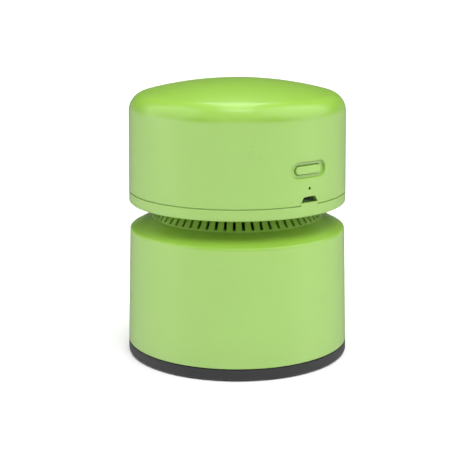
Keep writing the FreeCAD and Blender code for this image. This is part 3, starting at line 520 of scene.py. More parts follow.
# Three profiles with the same number of points: with the lip, without it behind the board, and
# with the tab
skirt = [(tray_hole, head_bottom), (flat_ring, head_bottom)]
skirt += arc((head_radius - skirt_round, head_bottom + skirt_round), skirt_round, -90, 0, 10)
skirt += [(head_radius, skirt_line), (head_radius, groove_bottom - seam_edge)]
groove_floor = head_radius - groove_depth
groove = [(head_radius - seam_edge, groove_bottom), (groove_floor, groove_bottom), (groove_floor, seam),
          (lip_outer, seam)]
lip_profile = skirt + groove + [
    (lip_outer, lip_top - lip_bevel), (lip_outer - lip_bevel, lip_top), (lip_inner + lip_bevel, lip_top),
    (lip_inner, lip_top - lip_bevel), (lip_inner, tray_floor), (tray_hole, tray_floor)]
open_profile = skirt + groove + [
    (lip_outer, 65.2), (lip_outer, 64.6), (lip_outer, 64.2), (lip_outer, 63.8), (lip_outer, tray_floor),
    (tray_hole, tray_floor)]
tab_profile = skirt + [
    (head_radius, 65.9), (head_radius, 66.3), (head_radius, tab_top - seam_edge),
    (head_radius - seam_edge, tab_top), (tab_back, tab_top), (tab_back, groove_bottom),
    (lip_outer, groove_bottom), (lip_outer, 64.5), (lip_outer, tray_floor), (tray_hole, tray_floor)]
tab_turn = math.asin(tab_half / head_radius)
open_turn = math.asin(board_half / lip_outer)
turns = [2 * math.pi * column / columns for column in range(-columns // 2, columns // 2)]
turns = [turn for turn in turns if min(abs(abs(turn) - tab_turn), abs(abs(turn) - open_turn)) > 0.001]
stations = []
for turn in turns:
    profile = lip_profile
    if abs(turn) < open_turn:
        profile = open_profile
    if abs(turn) < tab_turn:
        profile = tab_profile
    stations.append((turn, profile))
hair_turn = 0.00001
changes = ((tab_turn, open_profile, tab_profile), (open_turn, lip_profile, open_profile))
for side in (-1, 1):
    for turn, beyond, within in changes:
        stations.append((side * (turn + hair_turn), beyond))
        stations.append((side * (turn - hair_turn), within))
stations.sort(key=lambda station: station[0])
tray = Skin()
tray.strip([[(radius * math.sin(turn), -radius * math.cos(turn), height)
             for radius, height in profile + profile[:1]] for turn, profile in stations + stations[:1]])
head_tray = tray.finish("head_tray")


def combine(piece, solids, operation="DIFFERENCE"):
    """Takes solids out of a piece, or joins them to it, and throws them away."""
    for solid in solids:
        change = piece.modifiers.new("combine", "BOOLEAN")
        change.object = solid
        change.operation = operation
        change.solver = "EXACT"
    settle(piece)
    for solid in solids:
        bpy.data.objects.remove(solid)


def settle(piece):
    """Turns a piece with its modifiers into a plain mesh."""
    graph = bpy.context.evaluated_depsgraph_get()
    data = bpy.data.meshes.new_from_object(piece.evaluated_get(graph), depsgraph=graph)
    piece.modifiers.clear()
    piece.data = data


def drum(radius, bottom, top, x, y, count=48):
    """Plain cylinder, used to cut a hole."""
    body = Skin()
    body.lathe([(axis, bottom), (radius, bottom), (radius, top), (axis, top)], count, (x, y))
    return body.finish("drum")


cutters = []
for x, y in boss_places:
    cutters.append(drum(sink_radius, head_bottom - past, head_bottom + sink_depth, x, y))
    cutters.append(drum(screw_hole, head_bottom, tray_floor + past, x, y))
combine(head_tray, cutters)
dress(head_tray, "head", "shell_green", shell_green, "head_base")


# Exhaust grille: the slotted cone of green plastic between head and cup, where the air leaves.
# One sixtieth of the ring is drawn, with its slot, and repeated round the axis; three posts
# inside it carry the long screws of the fan.
slot_count = 60
slot_half = 0.55
slot_phase = 0.19
slot_bottom = 55.95
slot_top = 60.9
mouth = 55.35
neck_radius = 34.2
neck_top_radius = 29.6
grille_spread = 2.022
grille_foot = 30.5
grille_hub = 28.25
hub_inner = 26.6
post_radius = 1.95
post_bore = 1.1
post_reach = 26.3


class Tree:
    """A Geometry Nodes tree with named inputs, which makes one plain mesh."""

    def __init__(self, name):
        self.group = bpy.data.node_groups.new(name, "GeometryNodeTree")
        self.group.interface.new_socket("Geometry", in_out="OUTPUT", socket_type="NodeSocketGeometry")
        self.source = self.group.nodes.new("NodeGroupInput")
        self.values = []

    def ask(self, name, kind, value):
        """A named input and the value that it gets."""
        socket = self.group.interface.new_socket(name, in_out="INPUT", socket_type=kind)
        self.values.append((socket.identifier, value))
        return self.source.outputs[name]

    def add(self, kind, settings, values, result=0):
        """A node with its settings made first, then its inputs set or linked."""
        node = self.group.nodes.new(kind)
        for setting, value in settings.items():
            setattr(node, setting, value)
        for name, value in values.items():
            if isinstance(value, bpy.types.NodeSocket):
                self.group.links.new(value, node.inputs[name])
            else:
                node.inputs[name].default_value = value
        return node.outputs[result]

    def shape(self, name, piece):
        """The mesh of another object, as a named input."""
        source = self.ask(name, "NodeSocketObject", piece)
        return self.add("GeometryNodeObjectInfo", {}, {"Object": source}, "Geometry")

    def make(self, copies, name, finish, sharp=35):
        """Ends the tree in real geometry with its material, and gives it as an object."""
        real = self.add("GeometryNodeRealizeInstances", {}, {0: copies})
        real = self.add("GeometryNodeMergeByDistance", {}, {"Geometry": real, "Distance": 0.002 * mm})
        skin = self.ask("Material", "NodeSocketMaterial", finish.material)
        result = self.add("GeometryNodeSetMaterial", {}, {"Geometry": real, "Material": skin})
        self.group.links.new(result, self.group.nodes.new("NodeGroupOutput").inputs[0])
        piece = new_object(name, bpy.data.meshes.new(name))
        modifier = piece.modifiers.new("tree", "NODES")
        modifier.node_group = self.group
        for identifier, value in self.values:
            modifier[identifier] = value
        settle(piece)
        smooth(piece.data, sharp)
        return piece


def repeat_round(unit, count, first, name, finish, sharp=35):
    """Copies of a unit turned round the upright axis, from a first angle in degrees."""
    tree = Tree(name)
    shape = tree.shape("Unit", unit)
    number = tree.ask("Count", "NodeSocketInt", count)
    start = tree.ask("First Angle", "NodeSocketFloat", math.radians(first))
    index = tree.add("GeometryNodeInputIndex", {}, {})
    share = tree.add("ShaderNodeMath", {"operation": "DIVIDE"}, {0: index, 1: number})
    turn = tree.add("ShaderNodeMath", {"operation": "MULTIPLY_ADD"}, {0: share, 1: 2 * math.pi, 2: start})
    spin = tree.add("ShaderNodeCombineXYZ", {}, {"Z": turn})
    points = tree.add("GeometryNodePoints", {}, {"Count": number})
    copies = tree.add("GeometryNodeInstanceOnPoints", {},
                      {"Points": points, "Instance": shape, "Rotation": spin})
    piece = tree.make(copies, name, finish, sharp)
    bpy.data.objects.remove(unit)
    return piece


def cone_radius(height):
    """Outer radius of the neck."""
    return neck_radius - (neck_radius - neck_top_radius) * (height - mouth) / (head_bottom - mouth)


def ease(piece, width):
    """Rounds a piece's edges a little."""
    bevel = piece.modifiers.new("ease", "BEVEL")
    bevel.width = width * mm
    bevel.segments = 2
    bevel.limit_method = "ANGLE"
    bevel.angle_limit = math.radians(40)
    bevel.harden_normals = True
    settle(piece)


grille_profile = [
    (grille_foot, mouth), (neck_radius, mouth), (cone_radius(slot_bottom), slot_bottom),
    (cone_radius(slot_top), slot_top), (neck_top_radius, head_bottom), (grille_hub, head_bottom),
    (grille_hub, tray_floor), (hub_inner, tray_floor), (hub_inner, head_bottom),
    (neck_top_radius - grille_spread, head_bottom), (cone_radius(slot_top) - grille_spread, slot_top),
    (cone_radius(slot_bottom) - grille_spread, slot_bottom), (grille_foot, slot_bottom)]
sector = math.radians(180 / slot_count)


def grille_line(side, share):
    """Profile of the grille at a slot's edge, or at the end of its sector."""
    line = []
    for radius, height in grille_profile + grille_profile[:1]:
        turn = side * (sector * share + math.asin(slot_half / radius) * (1 - share))
        line.append((radius * math.sin(turn), -radius * math.cos(turn), height))
    return line


# The slot is left open between points 2 and 3 of the profile in front, and 10 and 11 behind
lines = [grille_line(-1, 1), grille_line(-1, 0), grille_line(1, 0), grille_line(1, 1)]
unit = Skin()
unit.strip(lines, leave_out={(1, 2), (1, 10)})
for line in (lines[1], lines[2]):
    unit.strip([[line[2], line[3]], [line[11], line[10]]])
for index, behind in ((2, 11), (3, 10)):
    unit.strip([[lines[1][index], lines[2][index]], [lines[1][behind], lines[2][behind]]])
sector_piece = unit.finish("grille_sector")
first_slot = 360 * slot_phase / slot_count
neck_grille = repeat_round(sector_piece, slot_count, first_slot, "neck_grille", shell_green)


def join(piece, *others):
    """Adds other objects' meshes to a piece."""
    mesh = bmesh.new()
    for source in (piece, *others):
        mesh.from_mesh(source.data)
    mesh.to_mesh(piece.data)
    mesh.free()
    for source in others:
        bpy.data.objects.remove(source)


posts = Skin()
post_places = around(3, post_reach, 30)
for place in post_places:
    posts.lathe([(post_bore, mouth), (post_radius, mouth), (post_radius, tray_floor),
                 (post_bore, tray_floor)], 32, place)
ease(neck_grille, 0.1)
join(neck_grille, posts.finish("grille_posts"))
dress(neck_grille, "head", "shell_green", shell_green, "exhaust_grille")


# Dust cup: one turned shell in the same green plastic, open below, with a sloping shoulder,
# a collar that the head plugs into, and four screw bosses inside its wall.
cup_radius = 44.05
cup_top_radius = 42.75
cup_wall = 2.0
cup_rings = (12, 28, 44)
ring_top = 4.9
shoulder = 50.9
collar_bore = 32.0
collar_bottom = 47.15
collar_outer = 33.8
base_floor_top = 5.6
cup_boss_reach = 39.35
cup_boss_height = 12.0
slope = (mouth - shoulder) / (cup_top_radius - neck_radius)
under_wall = shoulder + cup_wall * (slope - math.sqrt(slope ** 2 + 1))
under_collar = shoulder + (cup_top_radius - collar_outer) * slope - cup_wall * math.sqrt(slope ** 2 + 1)


def cup_face(height):
    """Outer radius of the cup's wall, which draws in upwards."""
    return cup_radius - (cup_radius - cup_top_radius) * (height - ring_top) / (shoulder - ring_top)


cup_profile = rounded([
    (cup_radius - cup_wall, ring_top, 0), (cup_radius, ring_top, 0.3),
    *[(cup_face(height), height, 0) for height in cup_rings], (cup_top_radius, shoulder, 1.2),
    (cup_top_radius - 2, shoulder + 2 * slope, 0), (neck_radius + 0.4, mouth - 0.4 * slope, 0),
    (neck_radius, mouth, 0.15), (collar_bore, mouth, 0.4), (collar_bore, collar_bottom, 0.2),
    (collar_outer, collar_bottom, 0.2), (collar_outer, under_collar, 1.5),
    (cup_top_radius - cup_wall, under_wall, 1.5), (cup_face(cup_rings[1]) - cup_wall, cup_rings[1], 0)])
cup = Skin()
cup.lathe(cup_profile, columns)
seat_places = around(4, cup_boss_reach, 45)
for place in seat_places:
    cup.lathe(boss(base_floor_top, base_floor_top + cup_boss_height), 32, place)
cup_body = cup.finish("cup_body")
dress(cup_body, "cup", "shell_green", shell_green, "dust_cup")


# Base plate: dark satin plastic, textured in the mould, with a round ring that shows under the
# cup, a recessed floor with the suction slot, and four round seats that hold the pads.
ring_bottom = 0.4
ring_inner = 41.85
base_floor = 3.6
tongue_top = 9.0
tongue_outer = cup_face(tongue_top) - cup_wall - 0.15
tongue_inner = tongue_outer - 1.6
seat_outer = 4.4
seat_bore = 3.6
pad_top = 1.4
sink_top = 2.8
inlet_straight = 9.5
inlet_bend = 5.5
brush_y = 8.6
groove_top = 4.6
groove_half = (19.15, 1.75)
duct_screw_x = 21.9
duct_screw_hole = 1.1
pad_sink = 2.05
boss_recess = 3.35
shadow_line = 0.3
shadow_depth = 0.5
seat_reach = 0.8
base_charcoal = Finish("base_charcoal", {"IOR": 1.5, "Specular IOR Level": 0.19})
grain = base_charcoal.noise(0.22, 3)
cloud = base_charcoal.noise(14, 3)
tone = base_charcoal.mix(cloud * 0.7 + grain * 0.3, (0.017, 0.017, 0.018, 1), (0.024, 0.024, 0.025, 1))
base_charcoal.vary(Base_Color=tone, Roughness=0.42 + grain * 0.16, Normal=base_charcoal.bump(grain, 0.012))
plate_profile = rounded([
    (axis, base_floor, 0), (ring_inner, base_floor, 0.3), (ring_inner, ring_bottom, 0.3),
    (cup_radius, ring_bottom, 0.8), (cup_radius, ring_top - shadow_line, 0.1),
    (cup_radius - shadow_depth, ring_top - shadow_line, 0), (cup_radius - shadow_depth, ring_top, 0),
    (tongue_outer, ring_top, 0), (tongue_outer, tongue_top, 0.2),
    (tongue_inner, tongue_top, 0.2), (tongue_inner, base_floor_top, 0), (axis, base_floor_top, 0)], 4)
plate = Skin()
plate.lathe(plate_profile, columns)
base_pan = plate.finish("base_pan")
seats = Skin()
for place in seat_places:
    seats.lathe([(axis, ring_bottom), (seat_outer - 0.15, ring_bottom), (seat_outer, ring_bottom + 0.15),
                 (seat_outer, base_floor + 0.5), (axis, base_floor + 0.5)], 64, place)
seat_drums = seats.finish("seat_drums")
trim = Skin()
trim.lathe([(cup_radius - seat_reach, ring_bottom - past), (cup_radius + 3, ring_bottom - past),
            (cup_radius + 3, base_floor + past), (cup_radius - seat_reach, base_floor + past)], 240)
combine(seat_drums, [trim.finish("seat_trim")])
combine(base_pan, [seat_drums], "UNION")


def slab(rings):
    """Upright block between flat outlines (points, height), closed at both ends."""
    body = Skin()
    body.strip([[(x, y, height) for x, y in points] for points, height in rings], closed=True)
    for points, height in (rings[0], rings[-1]):
        body.mesh.faces.new([body.mesh.verts.new(Vector((x, y, height)) * mm) for x, y in points])
    return body.finish("slab")


def pill_outline(straight, bend):
    """Flat pill outline lying along X."""
    return pill_ring(even_rays(2, 24), straight, bend, 0)


def oblong(half_x, half_y, x=0, y=0):
    """Flat rectangular outline."""
    return [(x - half_x, y - half_y), (x + half_x, y - half_y), (x + half_x, y + half_y),
            (x - half_x, y + half_y)]


inlet = pill_outline(inlet_straight, inlet_bend)
inlet_lead = pill_outline(inlet_straight, inlet_bend + 0.8)
cutters = [slab([(inlet_lead, base_floor - past), (inlet_lead, base_floor - 0.001),
                 (inlet, base_floor + 0.8), (inlet, base_floor_top + past)])]
for side in (-1, 1):
    bar = oblong(*groove_half, 0, side * brush_y)
    cutters.append(slab([(bar, base_floor - past), (bar, groove_top)]))
    cutters.append(drum(duct_screw_hole, base_floor - past, base_floor_top + past, side * duct_screw_x, 0))
for x, y in seat_places:
    cutters.append(drum(seat_bore, ring_bottom - past, pad_top, x, y))
    cutters.append(drum(pad_sink, pad_top - 0.5, sink_top, x, y))
    cutters.append(drum(screw_hole, sink_top - 0.5, base_floor_top + past, x, y))
    cutters.append(drum(boss_recess, base_floor_top, tongue_top + past, x, y))
combine(base_pan, cutters)
smooth(base_pan.data, 30)
dress(base_pan, "cup", "base_charcoal", base_charcoal, "base_plate")


# Inlet duct: a moulded funnel of dark plastic above the suction slot. Dust flies up through it
# and can't fall back out. A flange with two ears is screwed to the base plate.
duct_top = 21.6
duct_middle = 13.6
duct_flange_top = 7.2
duct_ear_top = 9.6
duct_ear_radius = 3.0
duct_ear_bore = 1.0
duct_hole_top = 8.6
duct_wall = 1.4
duct_flange = 3.4
throat_straight = 8.5
throat_bend = 3.5
inner_plastic = Finish("inner_plastic", {"IOR": 1.48})
grain = inner_plastic.noise(0.3, 3)
cloud = inner_plastic.noise(9, 2)
tone = inner_plastic.mix(cloud, (0.1, 0.1, 0.11, 1), (0.125, 0.125, 0.135, 1))
inner_plastic.vary(Base_Color=tone, Roughness=0.44 + grain * 0.14, Normal=inner_plastic.bump(grain, 0.01))
foot_outer = pill_outline(inlet_straight, inlet_bend + duct_wall)
flange_edge = pill_outline(inlet_straight, inlet_bend + duct_flange)
flange_top = pill_outline(inlet_straight, inlet_bend + duct_flange - 0.2)
throat = pill_outline(throat_straight, throat_bend)
throat_outer = pill_outline(throat_straight, throat_bend + duct_wall)
funnel_rings = [(inlet, base_floor_top), (flange_edge, base_floor_top), (flange_edge, duct_flange_top - 0.2),
                (flange_top, duct_flange_top)]
for share in (0.1, 0.16, 0.5, 0.97):
    ring = between(foot_outer, throat_outer, share)
    funnel_rings.append((ring, base_floor_top + (duct_top - base_floor_top) * share))
funnel_rings += [(between(throat, throat_outer, 0.8), duct_top),
                 (between(throat, throat_outer, 0.2), duct_top),
                 (between(inlet, throat, 0.97), duct_top - 0.4),
                 (between(inlet, throat, 0.5), duct_middle), (inlet, base_floor_top)]
funnel = Skin()
funnel.strip([[(x, y, height) for x, y in points] for points, height in funnel_rings], closed=True)
duct_ear = [(duct_ear_bore, base_floor_top), (duct_ear_radius, base_floor_top),
            (duct_ear_radius, duct_ear_top - 0.3), (duct_ear_radius - 0.3, duct_ear_top),
            (hole_axis, duct_ear_top), (hole_axis, duct_hole_top), (duct_ear_bore, duct_hole_top)]
duct_screw_places = [(-duct_screw_x, 0), (duct_screw_x, 0)]
for place in duct_screw_places:
    funnel.lathe(duct_ear, 40, place)
duct_funnel = funnel.finish("duct_funnel")
dress(duct_funnel, "cup", "inner_plastic", inner_plastic, "inlet_duct")


# Brush strips: nylon tufts along both sides of the suction slot, thirty fine hairs to a tuft,
# clamped in plastic bars that are pressed into grooves of the base plate.
brush_half = 19.0
bar_half = 1.6
bar_bottom = 3.2
tuft_count = 13
tuft_radius = 0.72
hair_bottom = 0.22
hair_count = 30
bars = Skin()
for side in (-1, 1):
    low = oblong(brush_half, bar_half, 0, side * brush_y)
    bars.strip([[(x, y, height) for x, y in low] for height in (bar_bottom, groove_top)], closed=True)
    for height in (bar_bottom, groove_top):
        bars.strip([[(x, y, height) for x, y in low[:2]], [(x, y, height) for x, y in reversed(low[2:])]])
brush_bars = bars.finish("brush_bars")
ease(brush_bars, 0.25)
dress(brush_bars, "cup", "inner_plastic", inner_plastic, "brush_backing")

bristle = Finish("bristle", {"IOR": 1.53, "Coat Weight": 0.1})
shade = bristle.noise(0.8, 1)
bristle.vary(Base_Color=bristle.mix(shade, (0.025, 0.025, 0.028, 1), (0.075, 0.075, 0.08, 1)),
             Roughness=0.3 + shade * 0.2)
pitch = 2 * brush_half / tuft_count
tuft_places = [((step + 0.5) * pitch - brush_half, side * brush_y, bar_bottom) for side in (-1, 1)
               for step in range(tuft_count)]


def at_places(places, name):
    """Points only, for a tree to set copies on."""
    data = bpy.data.meshes.new(name)
    data.from_pydata([Vector(place) * mm for place in places], [], [])
    return new_object(name, data)


tuft_marks = at_places(tuft_places, "tuft_marks")
tree = Tree("brush_hairs")
marks = tree.shape("Tufts", tuft_marks)
number = tree.ask("Hairs", "NodeSocketInt", hair_count)
reach = tree.ask("Tuft Radius", "NodeSocketFloat", tuft_radius * mm)
length = tree.ask("Hair Length", "NodeSocketFloat", (bar_bottom - hair_bottom) * mm)
seed = tree.ask("Seed", "NodeSocketInt", 7)
roots = tree.add("GeometryNodeDuplicateElements", {"domain": "POINT"}, {"Geometry": marks, "Amount": number})
turn = tree.add("FunctionNodeRandomValue", {"data_type": "FLOAT"}, {2: 0.0, 3: 2 * math.pi, 8: seed}, 1)
far = tree.add("FunctionNodeRandomValue", {"data_type": "FLOAT"}, {2: 0.02, 3: 1.0, 8: 11}, 1)
far = tree.add("ShaderNodeMath", {"operation": "SQRT"}, {0: far})
far = tree.add("ShaderNodeMath", {"operation": "MULTIPLY"}, {0: far, 1: reach})
aside = tree.add("ShaderNodeCombineXYZ", {}, {"X": far})
aside = tree.add("ShaderNodeVectorRotate", {"rotation_type": "Z_AXIS"}, {"Vector": aside, "Angle": turn})
roots = tree.add("GeometryNodeSetPosition", {}, {"Geometry": roots, "Offset": aside})
lean = tree.add("FunctionNodeRandomValue", {"data_type": "FLOAT_VECTOR"},
                {0: (-0.05, -0.05, 0), 1: (0.05, 0.05, 6.28), 8: 5})
trim = tree.add("FunctionNodeRandomValue", {"data_type": "FLOAT"}, {2: 0.93, 3: 1.0, 8: 3}, 1)
trim = tree.add("ShaderNodeCombineXYZ", {}, {"X": 1.0, "Y": 1.0, "Z": trim})
hair = tree.add("GeometryNodeMeshCone", {},
                {"Vertices": 4, "Radius Top": 0.09 * mm, "Radius Bottom": 0.045 * mm, "Depth": length})
drop = tree.add("ShaderNodeMath", {"operation": "MULTIPLY"}, {0: length, 1: -1.0})
drop = tree.add("ShaderNodeCombineXYZ", {}, {"Z": drop})
hair = tree.add("GeometryNodeTransform", {}, {"Geometry": hair, "Translation": drop})
hairs = tree.add("GeometryNodeInstanceOnPoints", {},
                 {"Points": roots, "Instance": hair, "Rotation": lean, "Scale": trim})
brush_hairs = tree.make(hairs, "brush_hairs", bristle, 60)
bpy.data.objects.remove(tuft_marks)
dress(brush_hairs, "cup", "bristle", bristle, "brush_bristles")


# Glide pads: four round foam-rubber feet, punched from sheet and stuck in their seats, where
# they also cover the screws of the base.
pad_radius = 3.5
pad_rubber = Finish("pad_rubber", {"IOR": 1.5, "Specular IOR Level": 0.3})
cells = pad_rubber.add("ShaderNodeTexVoronoi", {}, {"Vector": pad_rubber.place, "Scale": 1 / (0.35 * mm)},
                       "Distance")
tone = pad_rubber.mix(cells, (0.028, 0.028, 0.03, 1), (0.06, 0.06, 0.064, 1))
pad_rubber.vary(Base_Color=tone, Roughness=0.75 + cells * 0.15, Normal=pad_rubber.bump(cells, 0.03))
pads = Skin()
for place in seat_places:
    pads.lathe([(axis, 0), (pad_radius - 0.25, 0), (pad_radius - 0.1, 0.06), (pad_radius, 0.25),
                (pad_radius, pad_top), (axis, pad_top)], 64, place)
foot_pads = pads.finish("foot_pads")
dress(foot_pads, "cup", "pad_rubber", pad_rubber, "glide_pads")


# Screws: cold-formed steel, zinc plated, with pan heads, a driver slot and a rolled thread.
# Each kind is drawn once and copied to its places.
screw_steel = Finish("screw_steel", {"Metallic": 1.0, "Anisotropic": 0.3})
stain = screw_steel.noise(1.4, 3)
tone = screw_steel.mix(stain, (0.5, 0.5, 0.5, 1), (0.62, 0.61, 0.58, 1))
screw_steel.vary(Base_Color=tone, Roughness=0.26 + stain * 0.16)


def screw_copies(name, body, node, shank, head, head_height, seat, tip, places):
    """Equal screws of one kind, from their seat level to their tip level, at places (x, y)."""
    length = abs(tip - seat)
    root = shank * 0.78
    profile = [(axis, head_height), (head * 0.6, head_height), (head * 0.86, head_height * 0.86),
               (head * 0.97, head_height * 0.6), (head, head_height * 0.3), (head, 0), (root, 0)]
    turns = max(3, int((length - 0.6) / 0.55))
    for step in range(turns):
        low = -0.3 - step * (length - 0.6) / turns
        profile += [(root, low), (shank, low - 0.2), (root, low - 0.4)]
    profile += [(root * 0.9, -length + 0.1), (root * 0.5, -length), (axis, -length)]
    unit = Skin()
    unit.lathe(profile, 28)
    screw = unit.finish("screw", 30)
    driver = oblong(head + past, shank / 4)
    combine(screw, [slab([(driver, head_height / 2), (driver, head_height + past)])])
    marks = at_places([(x, y, seat) for x, y in places], "screw_marks")
    tree = Tree(name)
    points = tree.shape("Places", marks)
    shape = tree.shape("Screw", screw)
    flip = tree.ask("Tilt", "NodeSocketFloat", math.pi if tip > seat else 0.0)
    spin = tree.add("FunctionNodeRandomValue", {"data_type": "FLOAT"}, {2: 0.0, 3: math.pi, 8: 4}, 1)
    turn = tree.add("ShaderNodeCombineXYZ", {}, {"X": flip, "Z": spin})
    copies = tree.add("GeometryNodeInstanceOnPoints", {},
                      {"Points": points, "Instance": shape, "Rotation": turn})
    piece = tree.make(copies, name, screw_steel, 30)
    for spare in (screw, marks):
        bpy.data.objects.remove(spare)
    dress(piece, body, "screw_steel", screw_steel, node)


screw_copies("base_fasteners", "cup", "base_screws", shank=1.1, head=1.95, head_height=1.4,
             seat=sink_top, tip=base_floor_top + boss_hole, places=seat_places)
screw_copies("duct_fasteners", "cup", "duct_screws", shank=1.0, head=1.8, head_height=1.2,
             seat=base_floor, tip=duct_hole_top, places=duct_screw_places)
screw_copies("shell_fasteners", "head", "shell_screws", shank=1.1, head=2.0, head_height=0.9,
             seat=head_bottom + sink_depth, tip=boss_bottom + boss_hole, places=boss_places)


# Fan plate: moulded dark plastic with the round eye of the fan and the spigot that plugs into
# the cup. A rubber ring in a groove of the spigot seals it, and three long screws hold it up.
plate_bottom = 53.75
eye_radius = 12.0
plate_ring = 21.0
spigot_outer = 31.6
spigot_inner = 29.4
groove_low = 49.05
groove_high = 50.65
groove_radius = 30.45
seal_middle = 31.15
seal_round = 0.7
seal_height = 49.85
fan_plate_profile = rounded([
    (eye_radius, plate_bottom, 0.7), (plate_ring, plate_bottom, 0), (spigot_inner, plate_bottom, 0.3),
    (spigot_inner, collar_bottom, 0.2), (spigot_outer, collar_bottom, 0.4), (spigot_outer, groove_low, 0.1),
    (groove_radius, groove_low, 0.1), (groove_radius, groove_high, 0.1), (spigot_outer, groove_high, 0.1),
    (spigot_outer, mouth, 0), (plate_ring, mouth, 0), (eye_radius, mouth, 0.7)], 4)
fan_plate = Skin()
fan_plate.lathe(fan_plate_profile, 240)
spigot_plate = fan_plate.finish("spigot_plate")
dress(spigot_plate, "head", "inner_plastic", inner_plastic, "fan_inlet_plate")

seal_rubber = Finish("seal_rubber", {"IOR": 1.5, "Specular IOR Level": 0.4})
bloom = seal_rubber.noise(2.5, 3)
seal_rubber.vary(Base_Color=seal_rubber.mix(bloom, (0.02, 0.02, 0.021, 1), (0.04, 0.04, 0.042, 1)),
                 Roughness=0.5 + bloom * 0.18, Normal=seal_rubber.bump(seal_rubber.noise(0.2, 2), 0.006))
seal = Skin()
seal.lathe([(seal_middle + seal_round * math.cos(2 * math.pi * step / 16),
             seal_height + seal_round * math.sin(2 * math.pi * step / 16)) for step in range(16)], 240)
seal_loop = seal.finish("seal_loop")
dress(seal_loop, "head", "seal_rubber", seal_rubber, "seal_ring")
screw_copies("fan_fasteners", "head", "fan_screws", shank=1.0, head=1.8, head_height=1.3,
             seat=plate_bottom, tip=66.9, places=post_places)


# Filter: pleated paper glued into a moulded frame, a plug with a stop flange above, six bars
# round the paper and a cap below. It pulls down out of the spigot to be washed.
frame_inner = 26.5
frame_outer = 29.25
flange_outer = 31.5
flange_low = 45.55
cage_outer = 27.9
cap_low = 34.05
cap_top = 35.55
plug_top = 51.15
filter_bars = 6
bar_width = 1.8
pleat_count = 40
pleat_depth = 5.3
outer_tip = 26.3
paper_half = 0.35
filter_plastic = Finish("filter_plastic", {"IOR": 1.5})
grain = filter_plastic.noise(0.3, 2)
cloud = filter_plastic.noise(7, 2)
filter_plastic.vary(Base_Color=filter_plastic.mix(cloud, (0.68, 0.69, 0.7, 1), (0.76, 0.77, 0.78, 1)),
                    Roughness=0.38 + grain * 0.12, Normal=filter_plastic.bump(grain, 0.008))
cage = Skin()
flange = rounded([
    (frame_inner, flange_low, 0.2), (flange_outer, flange_low, 0.3), (flange_outer, collar_bottom, 0.15),
    (frame_outer, collar_bottom, 0), (frame_outer, plug_top, 0.4), (frame_inner, plug_top, 0.4)], 4)
cap_disc = rounded([
    (axis, cap_low, 0), (cage_outer, cap_low, 0.5), (cage_outer, cap_top, 0.2), (axis, cap_top, 0)], 4)
for profile in (flange, cap_disc):
    cage.lathe(profile, 200)
filter_rings = cage.finish("filter_rings")
bar = Skin()
side = bar_width / 2
bar_front = math.sqrt(cage_outer ** 2 - side ** 2)
bar_rows = [[(bar_front, -side, height), (cage_outer, 0, height), (bar_front, side, height),
             (frame_inner, side, height), (frame_inner, -side, height)]
            for height in (cap_top - 0.3, flange_low + 0.3)]
bar.strip(bar_rows, closed=True)
filter_cage = repeat_round(bar.finish("cage_bar"), filter_bars, 0, "filter_cage", filter_plastic)
ease(filter_cage, 0.15)
join(filter_cage, filter_rings)
dress(filter_cage, "filter", "filter_plastic", filter_plastic, "filter_frame")

filter_paper = Finish("filter_paper", {"IOR": 1.45, "Specular IOR Level": 0.2, "Sheen Weight": 0.25})
stretched = filter_paper.add("ShaderNodeVectorMath", {"operation": "MULTIPLY"},
                             {0: filter_paper.place, 1: (1, 1, 0.3)})
fibre = filter_paper.noise(0.25, 4, stretched)
dust = filter_paper.noise(6, 3)
tone = filter_paper.mix(fibre, (0.78, 0.77, 0.71, 1), (0.92, 0.91, 0.86, 1))
tone = filter_paper.mix(dust * 0.25, tone, (0.62, 0.59, 0.52, 1))
filter_paper.vary(Base_Color=tone, Roughness=0.85 + fibre * 0.1, Normal=filter_paper.bump(fibre, 0.05))
half_turn = math.pi / pleat_count
tip_round = 0.6
fold_steps = 16
fold_crease = 3.2
fold_thick = 1.6
folds = []
for step in range(fold_steps + 1):
    share = step / fold_steps
    wave = abs(2 * share - 1)
    wave = 0.5 + 0.5 * math.tanh(fold_crease * (wave - 0.5)) / math.tanh(fold_crease / 2)
    folds.append((outer_tip - tip_round - (pleat_depth - 2 * tip_round) * wave, (2 * share - 1) * half_turn))


def sheet_row(offset, height):
    """One edge of the folded sheet, moved in or out from its middle."""
    out = offset * fold_thick
    return [((radius + out) * math.cos(turn), (radius + out) * math.sin(turn), height)
            for radius, turn in folds]


pleat = Skin()
pleat.strip([sheet_row(-paper_half, cap_top), sheet_row(-paper_half, flange_low),
             sheet_row(paper_half, flange_low), sheet_row(paper_half, cap_top),
             sheet_row(-paper_half, cap_top)])
filter_pleats = repeat_round(pleat.finish("pleat", 60), pleat_count, 0, "filter_pleats", filter_paper, 60)
dress(filter_pleats, "filter", "filter_paper", filter_paper, "filter_media")


